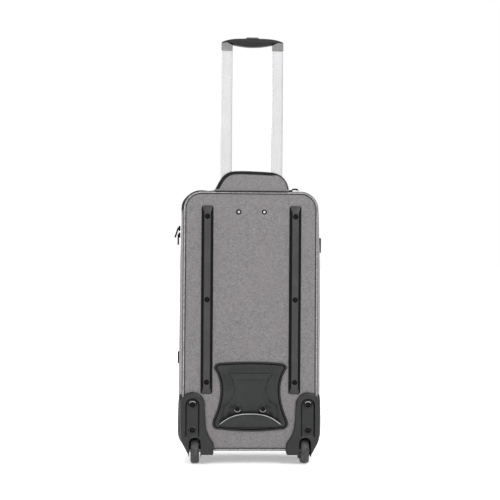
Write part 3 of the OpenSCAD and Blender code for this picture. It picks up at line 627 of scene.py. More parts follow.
def studio():
    """White studio with three soft lights, a camera square to the back of the case, and a white floor."""
    scene = bpy.context.scene
    scene.view_settings.view_transform = "Standard"
    world = bpy.data.worlds.new("studio")
    world.use_nodes = True
    tree = world.node_tree
    split = tree.nodes.new("ShaderNodeSeparateXYZ")
    link(tree, tree.nodes.new("ShaderNodeTexCoord").outputs["Generated"], split.inputs[0])
    height = tree.nodes.new("ShaderNodeMapRange")
    height.inputs["From Min"].default_value = -1
    link(tree, split.outputs["Z"], height.inputs["Value"])
    rise = ramp(tree, height.outputs["Result"], (0.0, (0.8, 0.8, 0.8)), (0.5, (0.46, 0.46, 0.46)),
                (0.62, (0.66, 0.66, 0.66)), (0.78, (1.0, 1.0, 1.0)))
    facing = math_node(tree, "MULTIPLY", split.outputs["Y"], split.outputs["Y"])
    level = ramp(tree, facing, (0.0, (0.5, 0.5, 0.5)), (0.8, (1.0, 1.0, 1.0)))
    dome = mix(tree, 1.0, rise, level, "MULTIPLY")
    seen = tree.nodes.new("ShaderNodeLightPath").outputs["Is Camera Ray"]
    link(tree, mix(tree, seen, dome, (1.0, 1.0, 1.0)), tree.nodes["Background"].inputs["Color"])
    strength = math_node(tree, "SUBTRACT", 1.85, math_node(tree, "MULTIPLY", seen, 0.85))
    link(tree, strength, tree.nodes["Background"].inputs["Strength"])
    scene.world = world
    for name, place, power, size in (("key", (1.3, -2.4, 2.5), 42, 1.1), ("fill", (-1.9, -2.4, 1.0), 9, 1.8),
                                     ("front", (-1.0, 2.6, 1.8), 26, 1.6)):
        lamp = bpy.data.lights.new(name, "AREA")
        lamp.energy = power
        lamp.size = size
        light = bpy.data.objects.new(name, lamp)
        scene.collection.objects.link(light)
        light.location = place
        light.rotation_euler = (Vector((0, 0, 0.4)) - Vector(place)).to_track_quat("-Z", "Y").to_euler()
    lens = bpy.data.cameras.new("camera")
    lens.sensor_width = 36
    lens.angle = 2 * math.atan(CAMERA_SPAN / 2 / CAMERA_RANGE)
    camera = bpy.data.objects.new("camera", lens)
    scene.collection.objects.link(camera)
    turn = Matrix.Rotation(math.radians(90), 4, "X") @ Matrix.Rotation(math.radians(CAMERA_ROLL), 4, "Z")
    middle = Matrix.Translation((CAMERA_X, PANEL_Y * MM, CAMERA_Z))
    away = Matrix.Rotation(math.radians(-CAMERA_YAW), 4, "Z") @ Matrix.Translation((0, -CAMERA_RANGE, 0))
    camera.matrix_world = middle @ away @ turn
    scene.camera = camera
    material, tree, shader = node_material("floor", (0.98, 0.98, 0.98), 0.8, Specular_IOR_Level=0.2,
                                           Emission_Color=(1, 1, 1, 1), Emission_Strength=0.3)
    link(tree, ramp(tree, noise(tree, 3, 3), (0.3, (0.96, 0.96, 0.96)), (0.7, (0.98, 0.98, 0.98))),
         shader.inputs["Base Color"])
    n = 24
    side = np.linspace(-30000, 30000, n)
    points = np.array([(x, y, -0.5) for y in side for x in side])
    floor = add_mesh("floor", points, grid_faces(n, n, wrap=False))
    floor.data.materials.append(material)


CAMERA_RANGE = 3.0          # metres from the camera to the back panel
CAMERA_SPAN = 1.1435        # metres across the view at the back panel
CAMERA_X, CAMERA_Z = -0.0030, 0.4907
CAMERA_YAW = 2.3            # degrees that the camera stands to the left of square
CAMERA_ROLL = 0.40
studio()


# ---------------------------------------------------------------- outlines of the soft body

def back_outline(d=0.0):
    loop = round_box(BACK_HALF - d, BACK_HALF + 1 - d, BODY_Z0 + 8 + d, BODY_Z1 - 5 - d, 38 - d, 30 - d)
    return loop + (BACK_SHIFT, 0)


def mid_outline():
    return round_box(BODY_HALF - 2, BODY_HALF, BODY_Z0, BODY_Z1, 56, 44)


def front_outline(d=0.0):
    return round_box(BODY_HALF - 8 - d, BODY_HALF - 7 - d, BODY_Z0 + 7 + d, BODY_Z1 - 8 - d, 48 - d, 38 - d)


def flat_loop(outline, y):
    """An (x, z) outline as points in the plane y."""
    return np.stack([outline[:, 0], np.full(len(outline), float(y)), outline[:, 1]], 1)


MID_Y = -60                 # plane where the body reaches its full width


def bulge(y):
    """Share of the way from the back panel's outline to the full outline at plane y."""
    return np.clip((y - PANEL_Y) / (MID_Y - PANEL_Y), 0, 1) ** 0.72


HOUSING_LOW, HOUSING_HIGH = cad("wheel_housing_right")
HOUSING_BACK, HOUSING_FRONT = HOUSING_LOW[1], HOUSING_HIGH[1]
ARCH_X, ARCH_Z, ARCH_R = 132, 137.5, 28
KICK_LOW, KICK_HIGH = cad("kick_plate")
WELL_LOW, WELL_HIGH = cad("handle_well")
WHEEL_LOW, WHEEL_HIGH = cad("tyre_right")
WHEEL_X = (WHEEL_LOW[0] + WHEEL_HIGH[0]) / 2
AXLE_Y = (WHEEL_LOW[1] + WHEEL_HIGH[1]) / 2
WHEEL_R = WHEEL_HIGH[2] / 2
WHEEL_HALF = (WHEEL_HIGH[0] - WHEEL_LOW[0]) / 2
WHEEL_GAP = 2.6             # between a wheel and the sides of its slot


def housing_reach(z):
    """How far a wheel housing reaches round the side of the case, as a Y at height z."""
    return HOUSING_FRONT - 6 - 44 * smooth((z - 52) / 92)


def under_housing(points, spare=0.0):
    """Whether points of the cloth lie behind a wheel housing, by more than spare along Y."""
    x, y, z = np.abs(points[:, 0]), points[:, 1], points[:, 2]
    top = ARCH_Z + ARCH_R * np.sqrt(np.clip(1 - ((x - ARCH_X) / ARCH_R) ** 2, 0, 1)) - 4
    return (x > 84) & (z < top) & (y < housing_reach(z) - spare)


def tub_half(z):
    """Half width of the kick plate's waisted recess."""
    return np.minimum(56, 35.6 + 0.0125 * (z - 172) ** 2)


def kick_half(z):
    """Half width of the kick plate."""
    return 68.5 + np.where(z > 172.5, 0.0062, 0.0034) * (z - 172.5) ** 2


TUB_FLOOR = -96             # plane of the bottom of the kick plate's recess
SLOT_TOP = 61.5             # crown of the wheel's slot in its housing


def housing_outline():
    """Right-hand housing, with a round-topped slot for its wheel let into the underside."""
    half = WHEEL_HALF + WHEEL_GAP
    left, right = WHEEL_X - half, WHEEL_X + half
    inner = [(102.5, 99), (100, 80), (96.5, 69), (91, 60), (84.5, 51), (82.8, 46), (82.5, 41), (83, 30),
             (84, 23.5),
             (86, 22)]
    cheek = [(left - 2.6, 22), (left - 1.8, 18.5), (left, 18.2)]
    slot = [tuple(p) for p in arc(WHEEL_X, SLOT_TOP - half, half, 180, 0, 14)]
    other = [(right, 18.2), (right + 1.8, 18.5), (right + 2.6, 24)]
    outer = [(143.6, 27.5), (146.6, 33), (150.2, 39.5), (153.8, 46), (156.6, 52), (158.2, 58.5), (159.4, 75),
             (160.2, 105), (160.2, 137.5)]
    top = [tuple(p) for p in arc(ARCH_X, ARCH_Z, ARCH_R, 8, 90, 12)]
    arch = [tuple(p) for p in arc(ARCH_X, ARCH_Z, ARCH_R, 97, 180, 12)]
    return np.array(inner + cheek + slot + other + outer + top + arch)


HOUSING_LOOP = resample(housing_outline(), 2)
SLOT_HALF = 14.5            # half width cut from the cloth round each wheel
SLOT_CUT_Z = 66             # height that the cloth is cut away to there


# ---------------------------------------------------------------- back half of the body

def body_skin(name, rings, body, slot, drop=None):
    """Cloth that runs round the body through a list of closed rings of points."""
    count = len(rings[0])
    points = np.concatenate(rings)
    faces = grid_faces(len(rings), count, flip=True)
    if drop is not None:
        centres = np.array([points[list(f)].mean(0) for f in faces])
        keep = ~drop(centres)
        faces = [f for f, k in zip(faces, keep) if k]
    piece = add_mesh(name, points, faces)
    lay_on(piece, HEATHER, LINING)
    thick = piece.modifiers.new("padding", "SOLIDIFY")
    thick.thickness = (WALL - 1) * MM
    thick.offset = -1
    thick.material_offset = 1
    thick.material_offset_rim = 0
    return dress(piece, HEATHER, body, slot)


def settle(loop):
    """Draws a ring in a little towards its top, and flares its two top corners out to the main zip."""
    x, y, z = np.abs(loop[:, 0]), loop[:, 1], loop[:, 2]
    corner = smooth((x - 85) / 45) * smooth((z - 570) / 30)
    most = np.where(loop[:, 0] < 0, 5.0, 2.6)
    flare = most * corner * smooth((y - ZIP_Y + 12) / 10) * (1 - smooth((y - ZIP_Y - 4) / 40))
    taper = 2.4 * smooth((z - 430) / 140) * smooth((y - PANEL_Y) / 50)
    loop[:, 0] += np.sign(loop[:, 0]) * (flare - taper)
    loop[:, 2] += flare
    return loop


def gusset_ring(y):
    """Outline of the case's cloth at plane y, from the back panel's edge to the main zip."""
    t = bulge(y)
    flat = back_outline() * (1 - t) + mid_outline() * t
    ring = flat_loop(flat, y)
    swell = 2.2 * math.sin(math.pi * np.clip((y - PANEL_Y) / (ZIP_Y - PANEL_Y), 0, 1) ** 1.7)
    sides = smooth((ring[:, 2] - 70) / 120) * smooth((600 - ring[:, 2]) / 120)
    calm = smooth((ZIP_Y - y) / 25)
    ring[:, 0] += np.sign(ring[:, 0]) * sides * (swell + 0.9 * calm * ripple(ring, 52))
    tops = smooth((130 - np.abs(ring[:, 0])) / 60) * (ring[:, 2] > 300)
    ring[:, 2] += tops * (0.7 * swell * (y > WELL_HIGH[1]) + 0.5 * calm * ripple(ring, 40))
    hidden = under_housing(ring, 3)
    ring[hidden, 0] -= np.sign(ring[hidden, 0]) * 9
    ring[hidden & (ring[:, 2] < 60), 2] += 12
    return settle(ring)


def case_cloth():
    """Padded wall of the case's back half, and its back panel."""
    ys = [PANEL_Y + 0.6, -106, -103.5, -101, -97, -92, -86, -80, -74, -68, -62, -59, -54, -49, -44, -38, -31,
          -24, -17, -10, -3, 4, 10, 14, 17, ZIP_Y - 1.6]

    def cut_away(c):
        """The handle well's mouth, and the slots that the wheels run in."""
        x = np.abs(c[:, 0])
        well = (x < 84) & (c[:, 1] > -104) & (c[:, 1] < -59.5) & (c[:, 2] > 560)
        slot = (np.abs(x - WHEEL_X) < SLOT_HALF) & (c[:, 1] < HOUSING_FRONT - 1) & (c[:, 2] < SLOT_CUT_Z)
        return well | slot

    gusset = body_skin("case_gusset", [gusset_ring(y) for y in ys], "case", "heather_fabric", cut_away)
    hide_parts("shell")

    def height(x, z, near):
        y = PANEL_Y + 2.2 * (1 - smooth(near / 5)) - 0.5 * smooth((near - 4) / 14)
        points = spread(x, z)
        y = y + 0.35 * ripple(points, 34) * smooth(near / 30)
        gap, covered = edge_distance(np.stack([np.abs(x), z], 1), HOUSING_LOOP)
        return np.where(covered & (gap > 4), PANEL_Y + 5, y)

    points, faces = relief(back_outline(0.8), height, PANEL_Y + 4, 5.2, PANEL_RINGS)
    middles = np.array([points[list(f)].mean(0) for f in faces])
    x, z = np.abs(middles[:, 0]), middles[:, 2]
    gone = cut_away(middles) | (x < kick_half(z) - 9) & (z > KICK_LOW[2] + 9) & (z < KICK_HIGH[2] - 10)
    part("back_panel", (points, [f for f, g in zip(faces, gone) if not g]), HEATHER, "case",
         "heather_fabric")


case_cloth()


def loop_3d(outline, y, step=3.5):
    return flat_loop(resample(outline, step), y)


def runs(loop, keep):
    """The stretches of a closed loop of points where keep is true, in order."""
    if keep.all():
        return [loop]
    start = int(np.flatnonzero(keep & ~np.roll(keep, 1))[0])
    loop, keep = np.roll(loop, -start, 0), np.roll(keep, -start)
    found, run = [], []
    for point, k in zip(loop, keep):
        if k:
            run.append(point)
        elif run:
            found.append(np.array(run))
            run = []
    return found + ([np.array(run)] if run else [])


def cord(path, r):
    """Thin round bead that lies along an open path on a face seen from behind."""
    return sweep(path, disc(r, 8), closed=False, up=(0, -1, 0))


def trim(name, loop, section, material, body, slot, *nodes, keep=None):
    """A cord or tape round a loop, or along the stretches of it that are kept."""
    keep = np.ones(len(loop), bool) if keep is None else keep
    parts = [sweep(run, section, closed=keep.all()) for run in runs(loop, keep) if len(run) > 3]
    return dress(add_mesh(name, *merge(parts)), material, body, slot, *nodes)


def back_edge():
    """Piping round the back panel, with a near-black cord either side of it that paints the shadow lines
    along it.
    """
    rim = loop_3d(back_outline(0.2), PANEL_Y + 1.4)
    trim("back_piping_cord", rim, disc(2.0), PIPING, "case", "heather_fabric", "back_piping",
         keep=~under_housing(rim))
    # A near-black cord either side of the piping paints the shadow lines along it.
    for name, inward, y, r in (("inner", 3.0, 0.5, 0.85), ("outer", -2.3, 3.6, 0.8)):
        loop = loop_3d(back_outline(inward), PANEL_Y + y)
        trim(f"back_painted_shadow_line_{name}", loop, disc(r, 8), TAPE, "case", "black_fabric", keep=~under_housing(loop))


# ---------------------------------------------------------------- screws

def screw_head(x, z, seat, r):
    """Domed head with a cross-shaped drive, seen from the back of the case."""
    def height(px, pz, near):
        u, v = np.abs(px - x), np.abs(pz - z)
        dome = seat - SCREW_DOME * np.sqrt(np.clip(1 - ((r - near) / (r * 1.18)) ** 2, 0, 1))
        slot = ((u < 0.16 * r) & (v < 0.55 * r)) | ((v < 0.16 * r) & (u < 0.55 * r))
        return dome + np.where(slot, 1.1, 0)
    return relief(arc(x, z, r, 0, 360, 40)[:-1], height, seat + 0.4, r / 9, (0.05 * r,))


RAIL_LOW, RAIL_HIGH = cad("skid_rail_right")
RAIL_X = (RAIL_LOW[0] + RAIL_HIGH[0]) / 2
RAIL_HALF = (RAIL_HIGH[0] - RAIL_LOW[0]) / 2
SCREW_DOME = 2.2            # height of a screw head
RAIL_SCREWS = (188.6, 377, 567)
HOUSING_SCREWS = (79, 137)
BRACKET_X, UPPER_SCREW_Z, KICK_SCREW_Z = 29.2, 577.5, 126.5


def all_screws():
    """Every screw head that shows on the back, and the washers of the handle bracket."""
    for name, x, zs, seat, r, material, *nodes in (
            ("rail", RAIL_X, RAIL_SCREWS, PANEL_Y - 3.9, 3.9, BLACK_PAINT),
            ("housing", ARCH_X, HOUSING_SCREWS, HOUSING_BACK + 6.5, 4.2, BLACK_PAINT, "panel_screws"),
            ("bracket", BRACKET_X, (UPPER_SCREW_Z,), PANEL_Y - 0.4, 2.9, STEEL, "bracket_screws"),
            ("kick", BRACKET_X, (KICK_SCREW_Z,), TUB_FLOOR - 2.4, 4.4, BLACK_PAINT)):
        heads = [screw_head(s * x, z, seat, r) for s in (LEFT, RIGHT) for z in zs]
        part(f"{name}_screw_heads", merge(heads), material, "case", "steel", *nodes)

    def washer(px, pz, near):
        return PANEL_Y - 1.0 * np.sqrt(np.clip(near / 1.6, 0, 1))
    rings = [relief(arc(s * BRACKET_X, UPPER_SCREW_Z, 6.4, 0, 360, 40)[:-1], washer, PANEL_Y + 2, 0.8,
                    (0.3, 0.8))
             for s in (LEFT, RIGHT)]
    part("bracket_washers", merge(rings), BLACK_AND_SHADE, "case", "black_plastic")


# ---------------------------------------------------------------- skid rails

def skid_rail(side):
    """Moulded rail: a raised running band between steep flanks, sloping at both ends, with screw seats."""
    z0, z1, top = RAIL_LOW[2], RAIL_HIGH[2], RAIL_LOW[1]
    middle = side * RAIL_X
    band, ramp_len = 7.6, 16

    def band_half(z):
        """Half width of the running band, which widens over the sloping ends."""
        end = np.minimum(z - z0, z1 - z)
        return band + (RAIL_HALF - 0.6 - band) * np.clip(1 - end / ramp_len, 0, 1)

    def height(x, z, near):
        across, half = np.abs(x - middle), band_half(z)
        end = np.minimum(z - z0, z1 - z)
        crown = top + 0.5 * (across / band) ** 2 + 7.2 * (1 - np.clip(end / ramp_len, 0, 1)) ** 1.2
        flank = np.maximum(crown + 2.0, PANEL_Y - 4.8 + 1.4 * smooth((across - half - 0.6) / 5))
        y = crown + (flank - crown) * smooth((across - half + 0.5) / 1.1)
        for zs in RAIL_SCREWS:
            r = np.hypot(x - middle, z - zs)
            y = np.where(r < 5.55, PANEL_Y - 4, np.where(r < 6.2, np.maximum(y, top + 1.2), y))
        return np.minimum(y + 1.3 * (1 - smooth(near / 1.2)), PANEL_Y - 1.6)

    outline = round_box(RAIL_HALF + 0.2, RAIL_HALF + 0.2, z0, z1, 5, 5, 8, 20, 4)
    outline[:, 0] += middle
    marks = [(middle, z, (4.6, 5.45, 5.7, 6.1)) for z in RAIL_SCREWS]
    z = np.linspace(z0 + 3, z1 - 3, 280)
    creases = [np.stack([middle + k * (band_half(z) + off), z], 1) for k in (-1, 1) for off in (-0.5, 0.6)]
    piece = add_mesh(f"rail_{SIDE_NAMES[side]}",
                     *relief(outline, height, PANEL_Y + 1, 2.0, (0.5, 1.2, 2.0), marks, creases), 50)
    lay_on(piece, RAIL_BAND, BLACK_AND_SHADE)
    # Flanks and screw seats take the near-black copy and the band the lighter one: lit and shaded copies of
    # one plastic, the flanks' darkness being painted shade.
    for face in piece.data.polygons:
        c = face.center / MM
        seat = min(math.hypot(c.x - middle, c.z - z) for z in RAIL_SCREWS)
        face.material_index = int(abs(c.x - middle) > band_half(c.z) - 0.1 or seat < 6.0)
    dress(piece, RAIL_BAND, "case", "black_plastic", f"skid_rail_{SIDE_NAMES[side]}")


# ---------------------------------------------------------------- kick plate with its finger recess

def kick_outline():
    z = np.linspace(101, 217, 30)
    side = np.concatenate([arc(73, 94, 13.5, -80, 5, 8), np.stack([kick_half(z), z], 1),
                           arc(70.5, 219.5, 13, 5, 84, 8)])
    x = np.linspace(70, -70, 24)
    top = np.stack([x, 235.5 - 0.0006 * x * x], 1)
    bottom = np.stack([-x, 76 + 0.00095 * x * x], 1)
    return np.concatenate([bottom, side, top, side[::-1] * (-1, 1)])


def tub_outline():
    z = np.linspace(92, 207, 40)
    side = np.stack([tub_half(z), z], 1)
    return np.concatenate([side, side[::-1] * (-1, 1)])


LIP_HALF = 72.0


def lip_top(x):
    """Upper edge of the finger lip: level in the middle, falling to the plate's lower corners."""
    return 116 - 26 * (np.abs(x) / LIP_HALF) ** 2.6


def kick_plate():
    """Plate whose sides slope into a waisted recess, with a finger lip across its foot."""
    face, deep, rim = KICK_LOW[1], TUB_FLOOR - 3, 7.0
    crease = cad("back_board")[0][1] - 1.2      # the slopes stay in front of the board behind them
    tub = resample(tub_outline(), 3)

    def height(x, z, near):
        wall, inside = edge_distance(np.stack([x, z], 1), tub)
        edge = face + 2.4 * (1 - smooth(near / 2.6)) + 3.4 * hump(near - 4.8, 0.9)
        run = np.clip(near - rim, 0, None)
        share = run / np.maximum(run + wall, 1e-6)
        slope = face + 0.6 + (crease - face) * (0.6 * smooth(share) + 0.4 * share)
        floor = crease + (deep - crease) * smooth(wall / 16) * (1 - 0.45 * smooth((z - 150) / 50))
        for s in (LEFT, RIGHT):
            r = np.hypot(x - s * BRACKET_X, z - KICK_SCREW_Z)
            boss = deep - 3.6 * (1 - smooth((r - 7.6) / 3.0)) + np.where(r < 5.7, 3.8, 0)
            floor = np.minimum(floor, np.where(r < 12, boss, 99))
        floor = floor - 3.2 * hump(z - 196, 5) * smooth((wall - 2) / 7)
        groove = 1.8 * hump(wall, 1.3) * smooth((z - 120) / 25)
        return np.where(near < rim, edge, np.where(inside, floor, slope) + groove)

    marks = [(s * BRACKET_X, KICK_SCREW_Z, (5.3, 5.95, 6.6, 7.6, 8.8, 10.2)) for s in (LEFT, RIGHT)]
    piece = add_mesh("kick_panel", *relief(kick_outline(), height, PANEL_Y + 1, 1.7,
                                           (0.6, 1.4, 2.4, 3.4, 4.1, 4.8, 5.5, 6.2,
                                            7.0), marks, creases=[tub]),
                     sharp_angle=60)
    lay_on(piece, PLASTIC, PAINTED_SHADE)
    outline = resample(kick_outline(), 1.7)
    centres = np.array([(f.center.x, f.center.z) for f in piece.data.polygons]) / MM
    near, _ = edge_distance(centres, outline)
    # Faces in the groove just inside the rim take the near-black material: painted shade in the groove.
    for f, gap in zip(piece.data.polygons, near):
        f.material_index = int(4.1 < gap < 5.5)
    dress(piece, PLASTIC, "case", "black_plastic", "kick_plate")

    x = np.linspace(-LIP_HALF, LIP_HALF, 61)
    lower = np.stack([x, 84.0 + 0.0004 * x * x + 4.5 * smooth((np.abs(x) - 60) / 14)], 1)
    upper = np.stack([x[::-1], lip_top(x[::-1])], 1)

    def hood(x, z, near):
        y = face - 0.4 - 2.2 * smooth(near / 9) + 2.6 * (1 - np.sqrt(np.clip(near / 2.6, 0, 1)))
        ridge = hump(lip_top(x) - z - 2.4, 1.3) + 0.6 * hump(z - lower_edge(x) - 3, 1.6)
        return y - 1.8 * ridge

    def lower_edge(x):
        return np.interp(x, lower[:, 0], lower[:, 1])

    front = relief(np.concatenate([lower, upper[1:-1]]), hood, face + 3.2, 1.5, (0.5, 1.1, 1.9, 2.8))
    part("kick_finger_lip", front, PLASTIC, "case", "black_plastic", sharp=60)
    # Above the lip's top edge a near-black cord paints its shadow line, and on the edge a light cord paints
    # its highlight.
    for name, y, lift, r, material in (("gap", 1.2, 2.2, 1.0, PAINTED_SHADE), ("bead", -0.6, 0.1, 1.1, PAINTED_HIGHLIGHT)):
        edge = spread(x, lip_top(x) + lift, face + y)[1:-1]
        part(f"kick_lip_painted_light_{name}", cord(edge, r), material, "case", "black_plastic")
    # Light arcs below the two screw bosses are painted highlights on their lower rims.
    lit = [cord(flat_loop(arc(s * BRACKET_X, KICK_SCREW_Z, 7.2, 195, 345, 16), deep - 3.7), 0.85)
           for s in (LEFT, RIGHT)]
    part("kick_boss_painted_highlights", merge(lit), PAINTED_HIGHLIGHT, "case", "black_plastic")


# ---------------------------------------------------------------- wheel housings and wheels

def housing(side):
    """Moulded wheel housing with a channel for its two screws, and a near-black sheet round the wheel that
    paints the shade in its slot.
    """
    face = HOUSING_BACK
    channel_half, channel_top, depth = 16, 136, 5

    def height(x, z, near):
        y = face + 4.6 * round_over(near, 5.5)
        y = y + 1.4 * smooth((x - 140) / 22)
        over = np.hypot(x - ARCH_X, np.maximum(z - channel_top, 0))
        into = channel_half - over
        floor = face + depth + 1.4 * smooth((z - 128) / 14) - 2.2 * smooth((72 - z) / 12)
        in_channel = smooth(into / 1.6) * smooth((z - 61) / 3)
        y = y * (1 - in_channel) + floor * in_channel
        bead = hump(into - 4.6, 0.9) * (z > 66)
        y = y - 1.3 * bead
        for zs in HOUSING_SCREWS:
            r = np.hypot(x - ARCH_X, z - zs)
            seat = face + depth - 2.2 * smooth((9.4 - r) / 2.2)
            y = np.where(r < 9.4, np.where(r < 5.9, face + depth + 2.5, np.minimum(seat, y + 0.5)), y)
        return y

    marks = [(ARCH_X, z, (5.3, 6.1, 7.2, 8.4, 9.6)) for z in HOUSING_SCREWS]
    creases = []
    for d in (0.0, 2.2):
        up = np.linspace(63, channel_top, 40)
        over = arc(ARCH_X, channel_top, channel_half - d, 0, 180, 28)
        creases.append(np.concatenate([np.column_stack([up * 0 + ARCH_X + channel_half - d, up]), over[1:-1],
                                       np.column_stack([up * 0 + ARCH_X - channel_half + d, up])[::-1]]))

    def back(x, z):
        slot = (np.abs(x - WHEEL_X) < 13.2) & (z < 66)
        reach = np.where(z > ARCH_Z + 4, PANEL_Y + 6, housing_reach(z))
        return np.where(slot | (z < 30), HOUSING_FRONT - 1, reach)

    outline = housing_outline()
    points, faces = relief(outline, height, back, 1.8, (0.5, 1.1, 1.9, 2.9, 4.1), marks, creases=creases)
    points[:, 0] *= side
    faces = facing(faces, side)
    name = SIDE_NAMES[side]
    piece = add_mesh(f"wheel_guard_{name}", points, faces, sharp_angle=60)
    lay_on(piece, PLASTIC, PAINTED_SHADE, BLACK_AND_SHADE)
    # Faces round the screws take the near-black material, and faces along the channel's edges the black one,
    # both as painted shade.
    for polygon in piece.data.polygons:
        c = polygon.center / MM
        x, z = abs(c.x), c.z
        into = channel_half - math.hypot(x - ARCH_X, max(z - channel_top, 0))
        if min(math.hypot(x - ARCH_X, z - zs) for zs in HOUSING_SCREWS) < 5.6:
            polygon.material_index = 1
        elif 0.1 < into < 2.1 and z > 64 and c.y < face + 8:
            polygon.material_index = 2
    dress(piece, PLASTIC, "case", "black_plastic", f"wheel_housing_{name}")
    # A light arc above the upper screw is a painted highlight on the rim of its seat.
    ring = arc(side * ARCH_X, HOUSING_SCREWS[1], 7.8, 35, 145, 14)
    rim = cord(flat_loop(ring, face + depth - 2.3), 0.9)
    part(f"wheel_guard_painted_highlight_{name}", rim, PAINTED_HIGHLIGHT, "case", "black_plastic")

    # The sheet round the wheel is near-black, as painted shade in the slot above the tyre.
    half = WHEEL_HALF + WHEEL_GAP
    a = np.radians(np.linspace(-18, 122, 30))
    rows = np.stack([np.zeros_like(a), AXLE_Y + (WHEEL_R + 3) * np.cos(a),
                     WHEEL_R + (SLOT_TOP + 1 - WHEEL_R) * np.sin(a)], 1)
    liner = np.concatenate([rows + (side * (WHEEL_X + k * half), 0, 0) for k in np.linspace(-1, 1, 5)])
    part(f"wheel_slot_painted_shade_{name}", (liner, grid_faces(5, len(a), wrap=False, flip=side > 0)), PAINTED_SHADE, "case",
         "black_plastic")


def arch_cover(side):
    """Lined box that closes off a wheel's slot from the inside of the case."""
    back, front, top, r = PANEL_Y + 9, HOUSING_FRONT + 2, SLOT_TOP + 5, 14
    path = [(back, top)] + [tuple(p) for p in arc(front - r, top - r, r, 90, 0, 8)]
    points = []
    for x, low in ((WHEEL_X - SLOT_HALF - 2, 34), (WHEEL_X + SLOT_HALF - 1, 46)):
        points += [(side * x, y, z) for y, z in path + [(front, low), (back, low)]]
    n = len(path) + 2
    faces = grid_faces(2, n - 1, wrap=False)
    faces = [tuple(i if i < n - 1 else i + 1 for i in f) for f in faces]
    faces += [tuple(range(n)), tuple(range(n, 2 * n))[::-1]]
    part(f"wheel_arch_{SIDE_NAMES[side]}", (np.array(points, float), faces), LINING, "case",
         "lining_fabric", sharp=40)


def lathe(profile, x, y, z, side):
    """Turned shape about an axle along X: profile is (along the axle from the wheel's middle, radius)."""
    profile = np.asarray(profile, float)
    steps = 96
    a = full_turn(steps)
    rows = [np.stack([np.full(steps, side * (x + u)), y + r * np.cos(a), z + r * np.sin(a)], 1) for u,
            r in profile]
    return np.concatenate(rows), grid_faces(len(rows), steps, flip=side > 0)


def wheel(side):
    name = SIDE_NAMES[side]
    half = WHEEL_HALF
    shoulder = [(half - 8 + 8 * math.sin(a), WHEEL_R - 4 + 4 * math.cos(a)) for a in np.linspace(0, 1.45, 10)]
    right = shoulder + [(half, WHEEL_R - 5), (half - 0.4, 23.5), (half - 1.2, 22.2)]
    profile = [(-u, r) for u, r in right[::-1]] + right
    points, faces = lathe(profile, WHEEL_X, AXLE_Y, WHEEL_R, side)
    part(f"tread_{name}", (points, faces), TYRE, f"wheel_{name}", "tyre", f"tyre_{name}", sharp=50)
    for node, slot, material in ((f"hub_{name}", "black_plastic", PLASTIC),
                                 (f"bearings_{name}", "steel", STEEL)):
        machined(node + "_rounded", node, f"wheel_{name}", slot, material, 0.5, 30)
    machined(f"axle_{name}_rounded", f"axle_{name}", "case", "steel", STEEL, 0.6)


def side_guard(side):
    """Part of the housing that wraps round the case's side, as high as the arch."""
    outline = np.array([(-101, 34), (-58, 30), (-54, 60), (-56, 112), (-62, 138), (-72, 155), (-84, 161),
                        (-96, 158),
                        (-103, 148), (-105, 128)], float)
    smoothed = resample(outline, 6)
    for _ in range(3):
        smoothed = 0.5 * smoothed + 0.25 * (np.roll(smoothed, 1, 0) + np.roll(smoothed, -1, 0))

    def edge_of(outline, z):
        right = outline[outline[:, 0] > 90]
        right = right[right[:, 1].argsort()]
        return np.interp(z, right[:, 1], right[:, 0])

    def skin(y, z):
        t = bulge(y)
        return edge_of(back_outline() - (BACK_SHIFT, 0), z) * (1 - t) + edge_of(mid_outline(), z) * t + 0.8

    def height(y, z, near):
        return -(skin(y, z) + 2.6 * np.sqrt(np.clip(near / 5, 0, 1)) - 1.2 * hump(near - 8, 1.0))

    points, faces = relief(smoothed, height, lambda y, z: 6 - skin(y, z), 2.6, (0.8, 1.8, 3.2))
    turned = np.stack([BACK_SHIFT * (1 - bulge(points[:, 0])) - side * points[:, 1], points[:, 0],
                       points[:, 2]], 1)
    faces = facing(faces, side)
    # It takes a darker, barely reflective copy of the housing's plastic: painted shade on the side.
    part(f"wheel_guard_wrap_{SIDE_NAMES[side]}", (turned, faces), SIDE_SHADE_PLASTIC, "case", "black_plastic", sharp=60)


all_screws()
back_edge()
for side in (LEFT, RIGHT):
    skid_rail(side)
    housing(side)
    side_guard(side)
    arch_cover(side)
    wheel(side)
kick_plate()


# ---------------------------------------------------------------- padded cloth

def with_modifiers_applied(piece):
    """Turns a piece's modifiers into mesh."""
    graph = bpy.context.evaluated_depsgraph_get()
    mesh = bpy.data.meshes.new_from_object(piece.evaluated_get(graph))
    piece.modifiers.clear()
    piece.data = mesh


def coordinates(mesh):
    """A mesh's points in millimetres."""
    return read(mesh.vertices, "co", 3).astype(float) / MM


